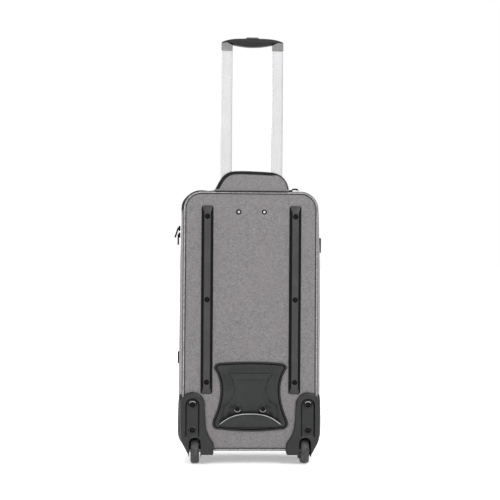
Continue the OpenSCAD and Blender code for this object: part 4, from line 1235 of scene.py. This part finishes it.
def blow_up(piece, cap, sewn, free):
    """Blows a padded piece up as cloth, and carries the movement over to the piece's own finer mesh.
    The movement is at most cap; sewn and free are functions of the points, for those held fast and
    for the share of the movement that each one takes."""
    scene = bpy.context.scene
    shape = bmesh.new()
    shape.from_mesh(piece.data)
    bmesh.ops.holes_fill(shape, edges=[e for e in shape.edges if e.is_boundary])
    mesh = bpy.data.meshes.new("cloth_at_rest")
    shape.to_mesh(mesh)
    shape.free()
    sheet = bpy.data.objects.new("cloth_at_rest", mesh)
    scene.collection.objects.link(sheet)
    even = sheet.modifiers.new("even_mesh", "REMESH")
    even.mode = "VOXEL"
    even.voxel_size = CLOTH_VOXEL * MM
    with_modifiers_applied(sheet)
    before = coordinates(sheet.data)
    sheet.vertex_groups.new(name="sewn").add([int(i) for i in np.flatnonzero(sewn(before))], 1.0, "REPLACE")
    cloth = sheet.modifiers.new("cloth", "CLOTH")
    cloth.point_cache.frame_end = CLOTH_FRAMES
    cloth.settings.vertex_group_mass = "sewn"
    cloth.settings.use_pressure = True
    cloth.settings.uniform_pressure_force = 4
    cloth.settings.effector_weights.gravity = 0
    for now in range(1, CLOTH_FRAMES + 1):
        scene.frame_set(now)
    moved = sheet.evaluated_get(bpy.context.evaluated_depsgraph_get())
    move = coordinates(moved.data) - before
    scene.frame_set(1)
    length = np.linalg.norm(move, axis=1)
    move *= np.minimum(1, cap / np.maximum(length, 1e-6))[:, None]
    bpy.data.objects.remove(sheet)
    tree = kdtree.KDTree(len(before))
    for i, point in enumerate(before):
        tree.insert(point, i)
    tree.balance()
    points = coordinates(piece.data)
    carried = np.zeros_like(points)
    for i, point in enumerate(points):
        found = tree.find_n(point, 6)
        weight = np.array([1 / (distance + 1) for _, _, distance in found])
        carried[i] = (move[[k for _, k, _ in found]] * weight[:, None]).sum(0) / weight.sum()
    points += carried * free(points)[:, None]
    piece.data.vertices.foreach_set("co", (points * MM).astype(np.float32).ravel())
    piece.data.update()


CLOTH_VOXEL = 6.0           # size of the even mesh that the cloth is blown up on
CLOTH_FRAMES = 20


# ---------------------------------------------------------------- trolley handle

TUBE_LOW, TUBE_HIGH = cad("inner_tube_right")
TUBE_X, TUBE_Y = (TUBE_LOW[0] + TUBE_HIGH[0]) / 2, (TUBE_LOW[1] + TUBE_HIGH[1]) / 2
TUBE_HALF_W, TUBE_HALF_D = (TUBE_HIGH[0] - TUBE_LOW[0]) / 2, (TUBE_HIGH[1] - TUBE_LOW[1]) / 2


def tube_section(wall=0.0):
    """Flat-sided tube with two fine grooves down its front and its back."""
    w, d, r = TUBE_HALF_W - wall, TUBE_HALF_D - wall, 2.4 - wall
    front = []
    for groove in (-9.9, 9.9):
        front += [(groove - 0.75, -d), (groove - 0.5, 0.55 - d), (groove + 0.5, 0.55 - d),
                  (groove + 0.75, -d)]
    half = np.concatenate([np.array(front) if not wall else np.zeros((0, 2)), arc(w - r, r - d, r, -90, 0, 5),
                           arc(w - r, d - r, r, 0, 90, 5)])
    if wall:
        return np.concatenate([half, arc(r - w, d - r, r, 90, 180, 5), arc(r - w, r - d, r, 180, 270, 5)])
    return np.concatenate([half, -np.array(front), arc(r - w, d - r, r, 90, 180, 5),
                           arc(r - w, r - d, r, 180, 270, 5)])


def sliding_tube(side):
    name = SIDE_NAMES[side]
    zs = np.linspace(TUBE_LOW[2], TUBE_HIGH[2], 24)
    rings = []
    for wall, order in ((0.0, 1), (1.2, -1)):
        section = tube_section(wall)
        rows = [np.column_stack([side * TUBE_X + section[:, 0], TUBE_Y + section[:, 1],
                                 np.full(len(section), z)])
                for z in zs]
        rings.append((np.concatenate(rows), grid_faces(len(zs), len(section), flip=order < 0)))
    part(f"sliding_tube_{name}", merge(rings), ALUMINIUM, "handle", "tube", f"inner_tube_{name}", sharp=28)


def loft(stations, section):
    """Closed body through sections along X: stations are rows of (x, low z, high z, half depth)."""
    rows = []
    for x, low, high, deep in stations:
        y = TUBE_Y + deep * section[:, 0]
        z = (low + high) / 2 + (high - low) / 2 * section[:, 1]
        rows.append(np.stack([np.full(len(section), x), y, z], 1))
    last = (len(rows) - 1) * len(section)
    ends = [tuple(range(len(section)))[::-1], tuple(range(last, last + len(section)))]
    return np.concatenate(rows), grid_faces(len(rows), len(section)) + ends


GRIP_LOW, GRIP_TOP = cad("grip_body")[0], cad("grip_cover")[1]
FITTING_LOW, FITTING_HIGH = cad("fitting_right")


def grip():
    """Soft grip: a lens seen from the front, thin over the two fittings, with a painted shadow ring round its
    button.
    """
    half, deep = GRIP_TOP[0], (GRIP_TOP[1] - GRIP_LOW[1]) / 2
    a = full_turn(40)
    section = np.stack([np.sign(np.cos(a)) * np.abs(np.cos(a)) ** 0.72,
                        np.sign(np.sin(a)) * np.abs(np.sin(a)) ** 0.8], 1)
    end_bow = (1 - np.linspace(0, 1, 9)) ** 2
    xs = np.unique(np.concatenate([np.linspace(-half + 3, half - 3, 61), half - 3 * end_bow,
                                   3 * end_bow - half]))
    stations = []
    for x in xs:
        u = abs(x)
        belly = GRIP_LOW[2] + 1.2 + 5.4 * (u / 45) ** 2
        low = min(belly, FITTING_HIGH[2] + 0.6)
        high = GRIP_TOP[2] - 9 * (u / half) ** 4
        round_off = math.sqrt(max(0.0, 1 - (max(0, u - half + 3) / 3) ** 2))
        middle, tall = (low + high) / 2, (high - low) / 2 * (0.35 + 0.65 * round_off)
        stations.append((x, middle - tall, middle + tall,
                         deep * (0.86 + 0.14 * math.cos(u / half * 1.5)) * (0.6 + 0.4 * round_off)))
    part("grip_moulding", loft(stations, section), SOFT_TOUCH, "handle", "grip_rubber", "grip_body",
         "grip_cover", sharp=60)

    low, high = cad("release_button")
    rim = round_box(high[0] + 1.6, high[0] + 1.6, TUBE_Y - 7.8, TUBE_Y + 7.8, 4, 4, 6, 6, 10)
    loop = np.column_stack([rim[:, 0], rim[:, 1], GRIP_TOP[2] - 9 * (np.abs(rim[:, 0]) / half) ** 4 - 0.6
                            - 0.012 * (rim[:, 1] - TUBE_Y) ** 2])
    # A near-black cord round the button paints the shadow in the gap round it.
    part("button_painted_shadow_ring", sweep(loop, disc(1.0, 8), up=(0, 0, 1)), PAINTED_SHADE, "handle", "grip_rubber")


def grip_fitting(side):
    """Textured shoe between a tube and the grip, with a slanting inner shoulder."""
    name = SIDE_NAMES[side]
    half = (FITTING_HIGH[0] - FITTING_LOW[0]) / 2
    deep = (FITTING_HIGH[1] - FITTING_LOW[1]) / 2
    outline = [(-half, FITTING_LOW[2]), (half, FITTING_LOW[2]), (half, FITTING_HIGH[2] + 1),
               (half - 12, FITTING_HIGH[2] + 3), (-half, FITTING_HIGH[2] - 4)]
    outline = resample(np.array(outline), 1.6)
    parts = []
    for face, sign in ((TUBE_Y - deep, 1), (TUBE_Y + deep, -1)):
        def height(x, z, near):
            return face + sign * (2.0 * round_over(near, 2.2)
                                  + 0.5 * ((np.abs(x) > half - 4.4) & (np.abs(x) < half - 3.6)))
        parts.append(relief(outline, height, TUBE_Y, 1.3, (0.4, 0.9, 1.5, 2.2)))
    points, faces = merge(parts)
    points[:, 0] = side * (TUBE_X + points[:, 0])
    faces = facing(faces, side)
    part(f"grip_fitting_{name}", (points, faces), GREY_PLASTIC, "handle", "grey_plastic", f"fitting_{name}",
         sharp=40)


def trolley():
    """The handle that slides, what guides it, and the tape round the mouth it slides through."""
    for side in (LEFT, RIGHT):
        name = SIDE_NAMES[side]
        sliding_tube(side)
        grip_fitting(side)
        machined(f"fixed_tube_{name}", f"outer_tube_{name}", "case", "fixed_tube", RAW_TUBE, 0.8, 50)
        machined(f"tube_end_{name}", f"tube_plug_{name}", "handle", "black_plastic", PLASTIC, 0.4, 50)
        machined(f"latch_pin_{name}", f"lock_pin_{name}", f"lock_{name}", "steel", STEEL, 0.5)
    grip()
    machined("push_button", "release_button", "button", "grey_plastic", DARK_GREY, 1.2, segments=3)
    machined("push_rods", "push_yoke", "button", "steel", STEEL, 0.4)
    for name, node in (("tube_bracket_upper", "upper_bracket"), ("tube_bracket_lower", "lower_bracket"),
                       ("grip_well", "handle_well")):
        machined(name, node, "case", "black_plastic", PLASTIC, 1.0)
    machined("stiffener", "back_board", "case", "board", BOARD, 0.6)
    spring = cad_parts["button_spring"]
    spring.data.materials.clear()
    spring.data.materials.append(STEEL)

    x, y0, y1 = 87, WELL_LOW[1] - 1.5, WELL_HIGH[1] + 4.5
    corners = np.concatenate([arc(x - 8, y0 + 8, 8, -90, 0, 6), arc(x - 8, y1 - 8, 8, 0, 90, 6),
                              arc(8 - x, y1 - 8, 8, 90, 180, 6), arc(8 - x, y0 + 8, 8, 180, 270, 6)])
    flat = resample(corners, 4)
    t = bulge(flat[:, 1])
    top = (BODY_Z1 - 5) * (1 - t) + BODY_Z1 * t + 0.2
    path = np.stack([flat[:, 0], flat[:, 1], top], 1)
    part("well_binding", sweep(path, ribbon(5.5, 0.8, 0.5), up=(0, 0, 1)), TAPE, "case", "black_fabric")


# ---------------------------------------------------------------- handle cover flap

FLAP_LOW, FLAP_HIGH = cad("flap_edging")
FLAP_Y = (FLAP_LOW[1] + FLAP_HIGH[1]) / 2


def spline(knots, n):
    """Smooth curve through knots, n points to a span."""
    knots = np.asarray(knots, float)
    ends = np.vstack([2 * knots[0] - knots[1], knots, 2 * knots[-1] - knots[-2]])
    t = np.linspace(0, 1, n, endpoint=False)[:, None]
    spans = []
    for p0, p1, p2, p3 in zip(ends, ends[1:], ends[2:], ends[3:]):
        spans.append(0.5 * (2 * p1 + (p2 - p0) * t + (2 * p0 - 5 * p1 + 4 * p2 - p3) * t ** 2
                            + (3 * p1 - p0 - 3 * p2 + p3) * t ** 3))
    return np.vstack(spans + [knots[-1:]])


def flap_outline(d=0.0, more=(0.0, 0.0, 0.0)):
    """Outline of the flap inset by d, and by more on its left, on its right and along its top."""
    half, z0, z1 = FLAP_HIGH[0], FLAP_LOW[2], FLAP_HIGH[2]
    knots = [(half, z0), (half - 2, z0 + 12), (half - 7, z0 + 24), (half - 15, z0 + 34),
             (half - 27, z0 + 41.5),
             (half - 45, z1 - 1.5), (0, z1 + 0.6), (-30, z1 + 0.8), (-48, z1 - 1.0), (-60, z0 + 40.5),
             (-70, z0 + 31), (-78, z0 + 18), (-half, z0)]
    loop = np.vstack([spline(knots, 8), line((-half, z0), (half, z0), 60)])
    if not (d or any(more)):
        return resample(loop, 3.0)
    above = smooth((loop[:, 1] - z0) / 4)
    to_left, to_right = smooth((-40 - loop[:, 0]) / 25), smooth((loop[:, 0] - 40) / 25)
    depth = d + (more[0] * to_left + more[1] * to_right + more[2] * (1 - to_left - to_right)) * above
    ahead = np.roll(loop, -1, 0) - np.roll(loop, 1, 0)
    ahead /= np.linalg.norm(ahead, axis=1)[:, None]
    moved = loop + depth[:, None] * np.stack([-ahead[:, 1], ahead[:, 0]], 1)
    moved[:, 1] = np.maximum(moved[:, 1], z0)
    return resample(moved, 3.0)


FLAP_CLOTH = (8.0, 4.0, 7.4)        # width of the black border on the left, on the right and along the top


def flap_pull():
    """Doubled black cord with a small metal end, lying along the top edge from its slider."""
    low, high = cad("flap_pull_ring")
    tab_low = cad("flap_pull_tab")[0]
    y, z = (low[1] + high[1]) / 2, (low[2] + high[2]) / 2
    middle, reach, half = low[0] - 1, (tab_low[0] - low[0]) / 2 + 1, 2.6
    loop = round_box(reach, reach, -half, half, half - 0.1, half - 0.1, 6, 1, 8)
    sag = 1.2 * np.cos(loop[:, 0] / reach * 1.4)
    path = np.column_stack([middle + reach + loop[:, 0], y + loop[:, 1], z + 0.2 + sag])
    part("flap_pull_cord", sweep(resample(path, 1.2), disc(1.9, 10), up=(0, 0, 1)), BLACK_PAINT,
         "flap_pull", "black_plastic", "flap_pull_ring")
    a = full_turn(18)
    rings = [np.column_stack([np.full(18, x), y + 3.1 * r * np.cos(a), z - 0.5 + 1.9 * r * np.sin(a)])
             for x, r in ((tab_low[0] - 1.5, 0.7), (tab_low[0] - 1.1, 1), (tab_low[0] + 4, 1),
                          (tab_low[0] + 4.6, 0.8))]
    faces = grid_faces(4, 18, flip=True) + [tuple(range(18)), tuple(range(54, 72))[::-1]]
    part("flap_pull_end", (np.concatenate(rings), faces), CHROME, "flap_pull", "chrome", "flap_pull_tab",
         sharp=40)


def flap():
    """Cloth flap with a zip tape round it, and the soft strip that joins it to the case."""
    def outer(x, z, near):
        points = spread(x, z)
        return FLAP_Y - 1.4 - 1.5 * smooth(near / 5) + 0.4 * ripple(points, 20) * smooth(near / 10)

    def inner(x, z, near):
        points = spread(x, z, 50)
        return FLAP_Y + 1.4 + 0.8 * smooth(near / 8) + 0.4 * ripple(points, 24) * smooth(near / 10)

    part("flap_cloth", relief(flap_outline(0, FLAP_CLOTH), outer, FLAP_Y, 3.0, FLAP_RINGS), HEATHER,
         "flap", "heather_fabric", "handle_flap")
    part("flap_lining", relief(flap_outline(1.0, FLAP_CLOTH), inner, FLAP_Y, 3.0, FLAP_RINGS), LINING,
         "flap", "lining_fabric")

    edge = resample(flap_outline(1.6), 2.5)
    border = []
    for sign in (-1, 1):
        def height(x, z, near):
            return FLAP_Y + sign * (0.4 + 0.9 * smooth(near / 1.6) + 0.35 * smooth((near - 3.0) / 1.2))
        border.append(relief(edge, height, FLAP_Y, 2.4, (0.7, 1.5, 3.2)))
    part("flap_zip_tape", merge(border), TAPE, "flap", "black_fabric", "flap_edging")
    outer_loop = loop_3d(flap_outline(1.2), FLAP_Y, 2.0)
    teeth = [row_of(run, TOOTH_PITCH, (1.5, 2.4, 1.7), closed=False)
             for run in runs(outer_loop, outer_loop[:, 2] > FLAP_LOW[2] + 3)]
    part("flap_zip_teeth", merge(teeth), TAPE, "flap", "black_fabric")
    stitched = loop_3d(flap_outline(1.4, FLAP_CLOTH), FLAP_Y - 2.2, 2.5)
    stitches = [row_of(run, STITCH_PITCH, (2.4, 0.5, 0.7), across=(0, 1, 0), closed=False)
                for run in runs(stitched, stitched[:, 2] > FLAP_LOW[2] + 6)]
    part("flap_stitches", merge(stitches), THREAD, "flap", "black_fabric")

    half = FLAP_HIGH[0] - 1.5
    across = np.linspace(-half, half, 40)
    profile = [(PANEL_Y + 1.0, BODY_Z1 - 6.5), (PANEL_Y + 0.4, BODY_Z1 - 4.4), (FLAP_Y - 2.0, BODY_Z1 - 2.6),
               (FLAP_Y - 2.2, BODY_Z1 - 0.6), (FLAP_Y - 2.2, BODY_Z1 + 1.6), (FLAP_Y - 1.2, BODY_Z1 + 2.2),
               (FLAP_Y + 1.4, BODY_Z1 + 1.6), (FLAP_Y + 1.6, BODY_Z1 - 1.5), (FLAP_Y + 3.4, BODY_Z1 - 4.4)]
    points = np.array([(x, y, z) for x in across for y, z in profile])
    strip = part("flap_base_seam", (points, grid_faces(len(across), len(profile), wrap=False)), HEATHER,
                 None, "heather_fabric")
    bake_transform(strip)
    # A near-black cord along the flap's foot paints the shadow line where it folds onto the case.
    x = np.linspace(-half, half, 60)
    seam = spread(x, x * 0 + BODY_Z1 - 1.6, FLAP_Y - 2.0)
    part("flap_painted_shadow_line", sweep(seam, disc(0.75, 8), closed=False, up=(0, 0, 1)), TAPE, "case", "black_fabric")

    machined("flap_zip_body", "flap_zip_slider", "case", "zip_metal", BLACK_PAINT, 1.4, segments=3)
    flap_pull()


# ---------------------------------------------------------------- lid with its pockets

def lid_ring(y):
    """Outline of the lid's cloth at plane y, from the main zip to the front."""
    t = np.clip((y - 60) / (FRONT_Y - 60), 0, 1)
    flat = mid_outline() * (1 - t ** 1.5) + front_outline() * t ** 1.5
    ring = flat_loop(flat, y)
    swell = 2.2 * math.sin(math.pi * np.clip((y - ZIP_Y) / (FRONT_Y - ZIP_Y), 0, 1))
    sides = smooth((ring[:, 2] - 60) / 90) * smooth((600 - ring[:, 2]) / 90)
    calm = smooth((y - ZIP_Y) / 25)
    ring[:, 0] += np.sign(ring[:, 0]) * sides * (swell + 1.1 * calm * ripple(ring, 46))
    tops = smooth((150 - np.abs(ring[:, 0])) / 60)
    ring[:, 2] += np.sign(ring[:, 2] - 300) * tops * (0.8 * swell + 0.7 * calm * ripple(ring, 44))
    return settle(ring)


def lid_cloth():
    """Padded wall of the lid, its front panel, lining and piping."""
    ys = [ZIP_Y + 1.6, 24, 27, 31, 36, 41, 46, 51, 56, 60, 64, 68, 72, 76, 79.5, 82, FRONT_Y - 0.6]
    gusset = body_skin("lid_gusset", [lid_ring(y) for y in ys], "lid", "heather_fabric")
    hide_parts("lid_shell")

    def height(x, z, near):
        points = spread(x, z)
        return (FRONT_Y - 2.2 * (1 - smooth(near / 5)) + 3.2 * smooth((near - 4) / 40)
                + 0.9 * ripple(points, 42) * smooth(near / 40))

    part("lid_front", relief(front_outline(0.8), height, FRONT_Y - 4, 5.2, PANEL_RINGS), HEATHER, "lid",
         "heather_fabric")

    def lined(x, z, near):
        return FRONT_Y - WALL + 0.6 * ripple(spread(x, z, 90), 36) * smooth(near / 20)

    part("lid_lining", relief(front_outline(5.0), lined, FRONT_Y - 2, 7.0), LINING, "lid", "lining_fabric")
    # Besides the piping, a near-black cord either side of it paints the shadow lines along it.
    for name, inward, y, r, material in (("piping", 0.2, -1.4, 2.0, PIPING),
                                         ("painted_shadow_line_inner", 3.0, -0.3, 0.85, TAPE),
                                         ("painted_shadow_line_outer", -2.3, -3.6, 0.8, TAPE)):
        loop = loop_3d(front_outline(inward), FRONT_Y + y)
        trim(f"lid_{name}", loop, disc(r, 8), material, "lid", "black_fabric")


POCKETS = {"lower": (125, 72, 352), "upper": (118, 372, 545)}
POCKET_Y = cad("pocket_lower")[1][1]


def pocket(which):
    """Front pocket, blown up below its zip; returns the shapes of its tapes and of its teeth."""
    half, z0, z1 = POCKETS[which]
    mouth = z1 - 16

    def outline(d=0.0):
        return round_box(half - d, half - d, z0 + d, z1 - d, 18 - d, 18 - d, 8, 24, 20)

    def height(x, z, near):
        points = spread(x, z)
        y = POCKET_Y - 7.5 * round_over(near, 13)
        puff = smooth((near - 8) / 45) * smooth((mouth - z) / 60)
        y = y + 4.6 * puff + 1.2 * ripple(points, 30) * smooth(near / 30) * smooth((mouth - 8 - z) / 14)
        sag = hump(z - z0 - 34, 16) * smooth((near - 6) / 20)
        y = y + 1.4 * sag
        zip_band = smooth((9.5 - np.abs(z - mouth)) / 2) * smooth((POCKET_MOUTH + 5 - np.abs(x)) / 3)
        return y * (1 - zip_band) + (POCKET_Y - 0.6) * zip_band

    body = part(f"pocket_{which}_cloth", relief(outline(), height, FRONT_Y + 0.4, 4.0,
                                                (1.0, 2.4, 4.2, 6.5)), HEATHER, "lid", "heather_fabric",
                f"pocket_{which}")

    def free(points):
        near, _ = edge_distance(points[:, (0, 2)], resample(outline(), 4))
        beside = smooth((POCKET_MOUTH + 16 - np.abs(points[:, 0])) / 8)
        by_zip = smooth((18 - np.abs(points[:, 2] - mouth)) / 8) * beside
        return smooth((near - 9) / 26) * (1 - by_zip) * (points[:, 2] < mouth)

    blow_up(body, 5.0, lambda points: points[:, 1] < FRONT_Y + 3, free)
    loop = loop_3d(outline(1.6), POCKET_Y - 4.6)
    trim(f"pocket_{which}_piping", loop, disc(1.7, 8), PIPING, "lid", "heather_fabric")
    foot = loop_3d(outline(-0.6), FRONT_Y + 1.6)
    trim(f"pocket_{which}_seam", foot, disc(0.9, 8), TAPE, "lid", "black_fabric")

    x = np.linspace(-POCKET_MOUTH - 4, POCKET_MOUTH + 4, 60)
    parts = []
    for z in (mouth - 5.0, mouth + 5.0):
        path = spread(x, x * 0 + z, POCKET_Y + 0.1)
        parts.append(sweep(path, ribbon(3.9, 0.6, 0.25), closed=False, up=(0, 1, 0)))
    teeth = [row_of(spread(x, x * 0 + mouth + dz, POCKET_Y + 0.4), TOOTH_PITCH, (1.3, 2.0, 1.4), (0, 0, 1),
                    False) for dz in (-0.7, 0.7)]
    return parts, teeth


POCKET_MOUTH = 98


def pockets():
    tapes, teeth = [], []
    for which in POCKETS:
        found = pocket(which)
        tapes += found[0]
        teeth += found[1]
    part("pocket_tapes", merge(tapes), TAPE, "lid", "black_fabric", "pocket_zip_tapes")
    part("pocket_teeth", merge(teeth), TAPE, "lid", "black_fabric")
    for which in POCKETS:
        machined(f"pocket_{which}_slider", f"pocket_slider_{which}", f"pocket_zip_{which}", "zip_metal",
                 BLACK_PAINT, 1.3, segments=3)
        machined(f"pocket_{which}_tag", f"pocket_pull_{which}", f"pocket_zip_{which}_pull",
                 "black_plastic", SOFT_TOUCH, 0.5)


# ---------------------------------------------------------------- main zip

HINGE_Z = (66, 586)         # ends of the fabric hinge on the right-hand side
HINGE_HALF, HINGE_LAP = 11, 6           # its half width, and how far it laps over the zip's ends


def on_zip(loop):
    """True where the loop carries the zip, and not the fabric hinge."""
    return ~((loop[:, 0] > BODY_HALF - 12) & (loop[:, 2] > HINGE_Z[0]) & (loop[:, 2] < HINGE_Z[1]))


def zip_ring(y, lift):
    """Ring of the cloth at plane y, raised by lift."""
    ring = gusset_ring(y) if y < ZIP_Y else lid_ring(y)
    flat = inset(ring[:, (0, 2)], -lift)
    return flat_loop(flat, y)


def zip_path(y, lift, step):
    return resample(zip_ring(y, lift), step)


PULL_SPLAY = {"upper": 18, "lower": 0}      # lean of each main pull away from the side, in degrees


def main_zip():
    """Both halves of the main zip, the fabric hinge, and the sliders with their pulls."""
    for body, sign, node in (("case", -1, "zip_tape_case"), ("lid", 1, "zip_tape_lid")):
        rows = [zip_ring(ZIP_Y + sign * out, lift) for out, lift in
                ((0.3, -1.0), (0.25, 1.9), (1.3, 2.1), (2.2, 1.3), (3.5, 1.1), (6.5, 1.0), (9.5, 0.9),
                 (10.3, 0.5),
                 (10.5, -0.6))]
        points, count = np.concatenate(rows), len(rows[0])
        faces = grid_faces(len(rows), count, flip=sign > 0)
        middles = points[np.array(faces)].mean(1)
        part(f"{body}_zip_tape", (points, [f for f, k in zip(faces, on_zip(middles)) if k]), TAPE, body,
             "black_fabric", node)
        edge = zip_path(ZIP_Y + sign * 0.75, 2.0, 2.0)
        teeth = [row_of(run, TOOTH_PITCH, (1.4, 1.5, 1.5), closed=False) for run in runs(edge, on_zip(edge))]
        part(f"{body}_zip_teeth", merge(teeth), TAPE, body, "black_fabric")
        stitched = zip_path(ZIP_Y + sign * 8.2, 1.1, 2.5)
        stitches = [row_of(run, STITCH_PITCH, (2.4, 0.6, 0.5), closed=False)
                    for run in runs(stitched, on_zip(stitched))]
        part(f"{body}_zip_stitches", merge(stitches), THREAD, body, "black_fabric")

    z = np.linspace(HINGE_Z[0] - HINGE_LAP, HINGE_Z[1] + HINGE_LAP, 90)
    side_loop = resample(zip_ring(ZIP_Y - 0.1, 0), 4)
    side_loop = side_loop[side_loop[:, 0] > 60]
    side_loop = side_loop[side_loop[:, 2].argsort()]
    lean = np.interp(z, side_loop[:, 2], side_loop[:, 0])
    ys = np.linspace(ZIP_Y - HINGE_HALF, ZIP_Y + HINGE_HALF, 15)
    bow = 0.7 + 1.2 * np.cos((ys - ZIP_Y) / HINGE_HALF * math.pi / 2)
    rim = [np.stack([lean + b, z * 0 + y, z], 1) for y, b in zip(ys, bow)]
    strip = part("hinge_cloth", (np.concatenate(rim), grid_faces(len(rim), len(z), wrap=False)), HEATHER,
                 None, "heather_fabric")
    thick = strip.modifiers.new("padding", "SOLIDIFY")
    thick.thickness = 1.2 * MM
    thick.offset = -1
    with_modifiers_applied(strip)
    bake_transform(strip)

    for which in ("upper", "lower"):
        machined(f"main_{which}_slider_body", f"main_slider_{which}", f"zip_{which}", "zip_metal",
                 BLACK_PAINT, 1.3, segments=3, fatten=((1, 0, 0), 1.3))
        lean = math.radians(PULL_SPLAY[which])
        machined(f"main_{which}_tag", f"main_pull_{which}", f"zip_{which}_pull", "black_plastic",
                 BLACK_PAINT, 1.1, segments=3, fatten=((math.cos(lean), 0, -math.sin(lean)), 2.4))


# ---------------------------------------------------------------- inside, handles, feet and tabs

def inside():
    """Lining over the tubes, and the laptop sleeve with its strap."""
    low, high = cad("lining_panel")

    def back(x, z, near):
        return high[1] + 0.5 * ripple(spread(x, z), 40) * smooth(near / 20)

    panel = round_box(high[0], high[0], low[2], high[2], 30, 20)
    part("inner_lining", relief(panel, back, low[1], 8.0), LINING, "case", "lining_fabric", "lining_panel")

    low, high = cad("laptop_sleeve")

    def front(x, z, near):
        points = spread(x, z, 30)
        y = high[1] - 6 * round_over(near, 11)
        channel = sum(hump(x - c, 1.6) for c in (-71, 0, 71)) * smooth((near - 14) / 10)
        return y + 2.6 * smooth(near / 40) - 2.2 * channel + 0.7 * ripple(points, 34) * smooth(near / 30)

    outline = round_box(high[0], high[0], low[2], high[2], 12, 24, 8, 24, 24)
    points, faces = relief(outline, front, low[1], 5.0, (1.2, 2.8, 5.0))
    sleeve = part("laptop_pocket", (points, faces), LINING, "case", "lining_fabric", "laptop_sleeve")

    def free(points):
        near, _ = edge_distance(points[:, (0, 2)], resample(outline, 4))
        return smooth((near - 6) / 24) * (points[:, 1] > low[1] + 3)

    blow_up(sleeve, 3.0, lambda points: points[:, 1] < low[1] + 3, free)
    strap = np.array([(0, high[1] + 4.5, 372), (0, high[1] + 5.5, 395), (0, high[1] + 4, 418),
                      (0, high[1] + 1.5, 428),
                      (0, high[1] - 3, 434), (0, -52, 438), (0, -66, 440), (0, -69, 446), (0, -69.4, 470)])
    fine = np.stack([np.interp(np.linspace(0, 8, 50), range(9), strap[:, k]) for k in range(3)], 1)
    part("laptop_strap", sweep(fine, ribbon(14, 1.6, 0.4), closed=False, up=(0, 0.9, 0.45)), WEBBING,
         "case", "black_fabric")


def carry_handle():
    """Webbing strap on top of the case, with a padded sleeve round its middle."""
    low, high = cad("carry_handle")
    y = (low[1] + high[1]) / 2
    half, z0, z1 = high[0], low[2], high[2]
    knots = np.array([(-half + 3, z0 + 0.6), (-half + 12, z0 + 1.6), (-half + 18, z0 + 9),
                      (-half + 26, z1 - 7),
                      (-half + 40, z1 - 4.2), (0, z1 - 3.6), (half - 40, z1 - 4.2), (half - 26, z1 - 7),
                      (half - 18, z0 + 9), (half - 12, z0 + 1.6), (half - 3, z0 + 0.6)])
    at = np.concatenate([[0], np.cumsum(np.linalg.norm(np.diff(knots, axis=0), axis=1))])
    s = np.linspace(0, at[-1], 120)
    path = np.stack([np.interp(s, at, knots[:, 0]), s * 0 + y, np.interp(s, at, knots[:, 1])], 1)
    for _ in range(6):
        path[1:-1] = 0.5 * path[1:-1] + 0.25 * (path[2:] + path[:-2])
    wide = (high[1] - low[1]) / 2
    part("carry_strap", sweep(path, ribbon(wide - 2, 2.2, 0.4) - (0, 1.1), closed=False), WEBBING, "case",
         "black_fabric", "carry_handle")
    grip_part = path[np.abs(path[:, 0]) < half - 26]
    a = -full_turn(22)
    oval = np.stack([(wide - 0.5) * np.cos(a), 3.9 * np.sin(a)], 1)
    points, faces = sweep(grip_part, oval, closed=False)
    t = np.linspace(-1, 1, len(grip_part))
    swell = np.repeat(0.82 + 0.18 * (1 - t ** 8), len(oval))
    middle = np.repeat(grip_part, len(oval), 0)
    points = middle + (points - middle) * swell[:, None]
    pad = part("carry_pad", (points, faces), HEATHER, "case", "heather_fabric")
    ends = half - 34
    blow_up(pad, 0.8, lambda points: np.abs(points[:, 0]) > ends,
            lambda points: smooth((ends - np.abs(points[:, 0])) / 12))
    middle = grip_part[2:-2]
    rows = [row_of(middle + (0, k * (wide - 3), 2.9), STITCH_PITCH, (2.4, 0.7, 0.6), (0, 1, 0), False)
            for k in (-1, 1)]
    for end in (LEFT, RIGHT):
        box = resample(round_box(7, 7, -9, 9, 1.5, 1.5, 2, 3, 3), 2)
        loop = np.stack([end * (half - 9) + box[:, 0], y + box[:, 1], box[:, 0] * 0 + z0 + 3.2], 1)
        centre, along = beads(loop, 3.0)
        rows.append(blocks(centre, along, np.cross(along, (0, 0, 1)), (2.2, 0.6, 0.5)))
    part("carry_stitches", merge(rows), THREAD, "case", "black_fabric")


def details():
    machined("front_foot_blocks", "front_feet", "case", "black_plastic", PLASTIC, 1.6, 30, 3)
    machined("side_tabs_webbing", "side_tabs", "case", "black_fabric", WEBBING, 2.0, segments=4)


trolley()
flap()
lid_cloth()
pockets()
main_zip()
inside()
carry_handle()
details()
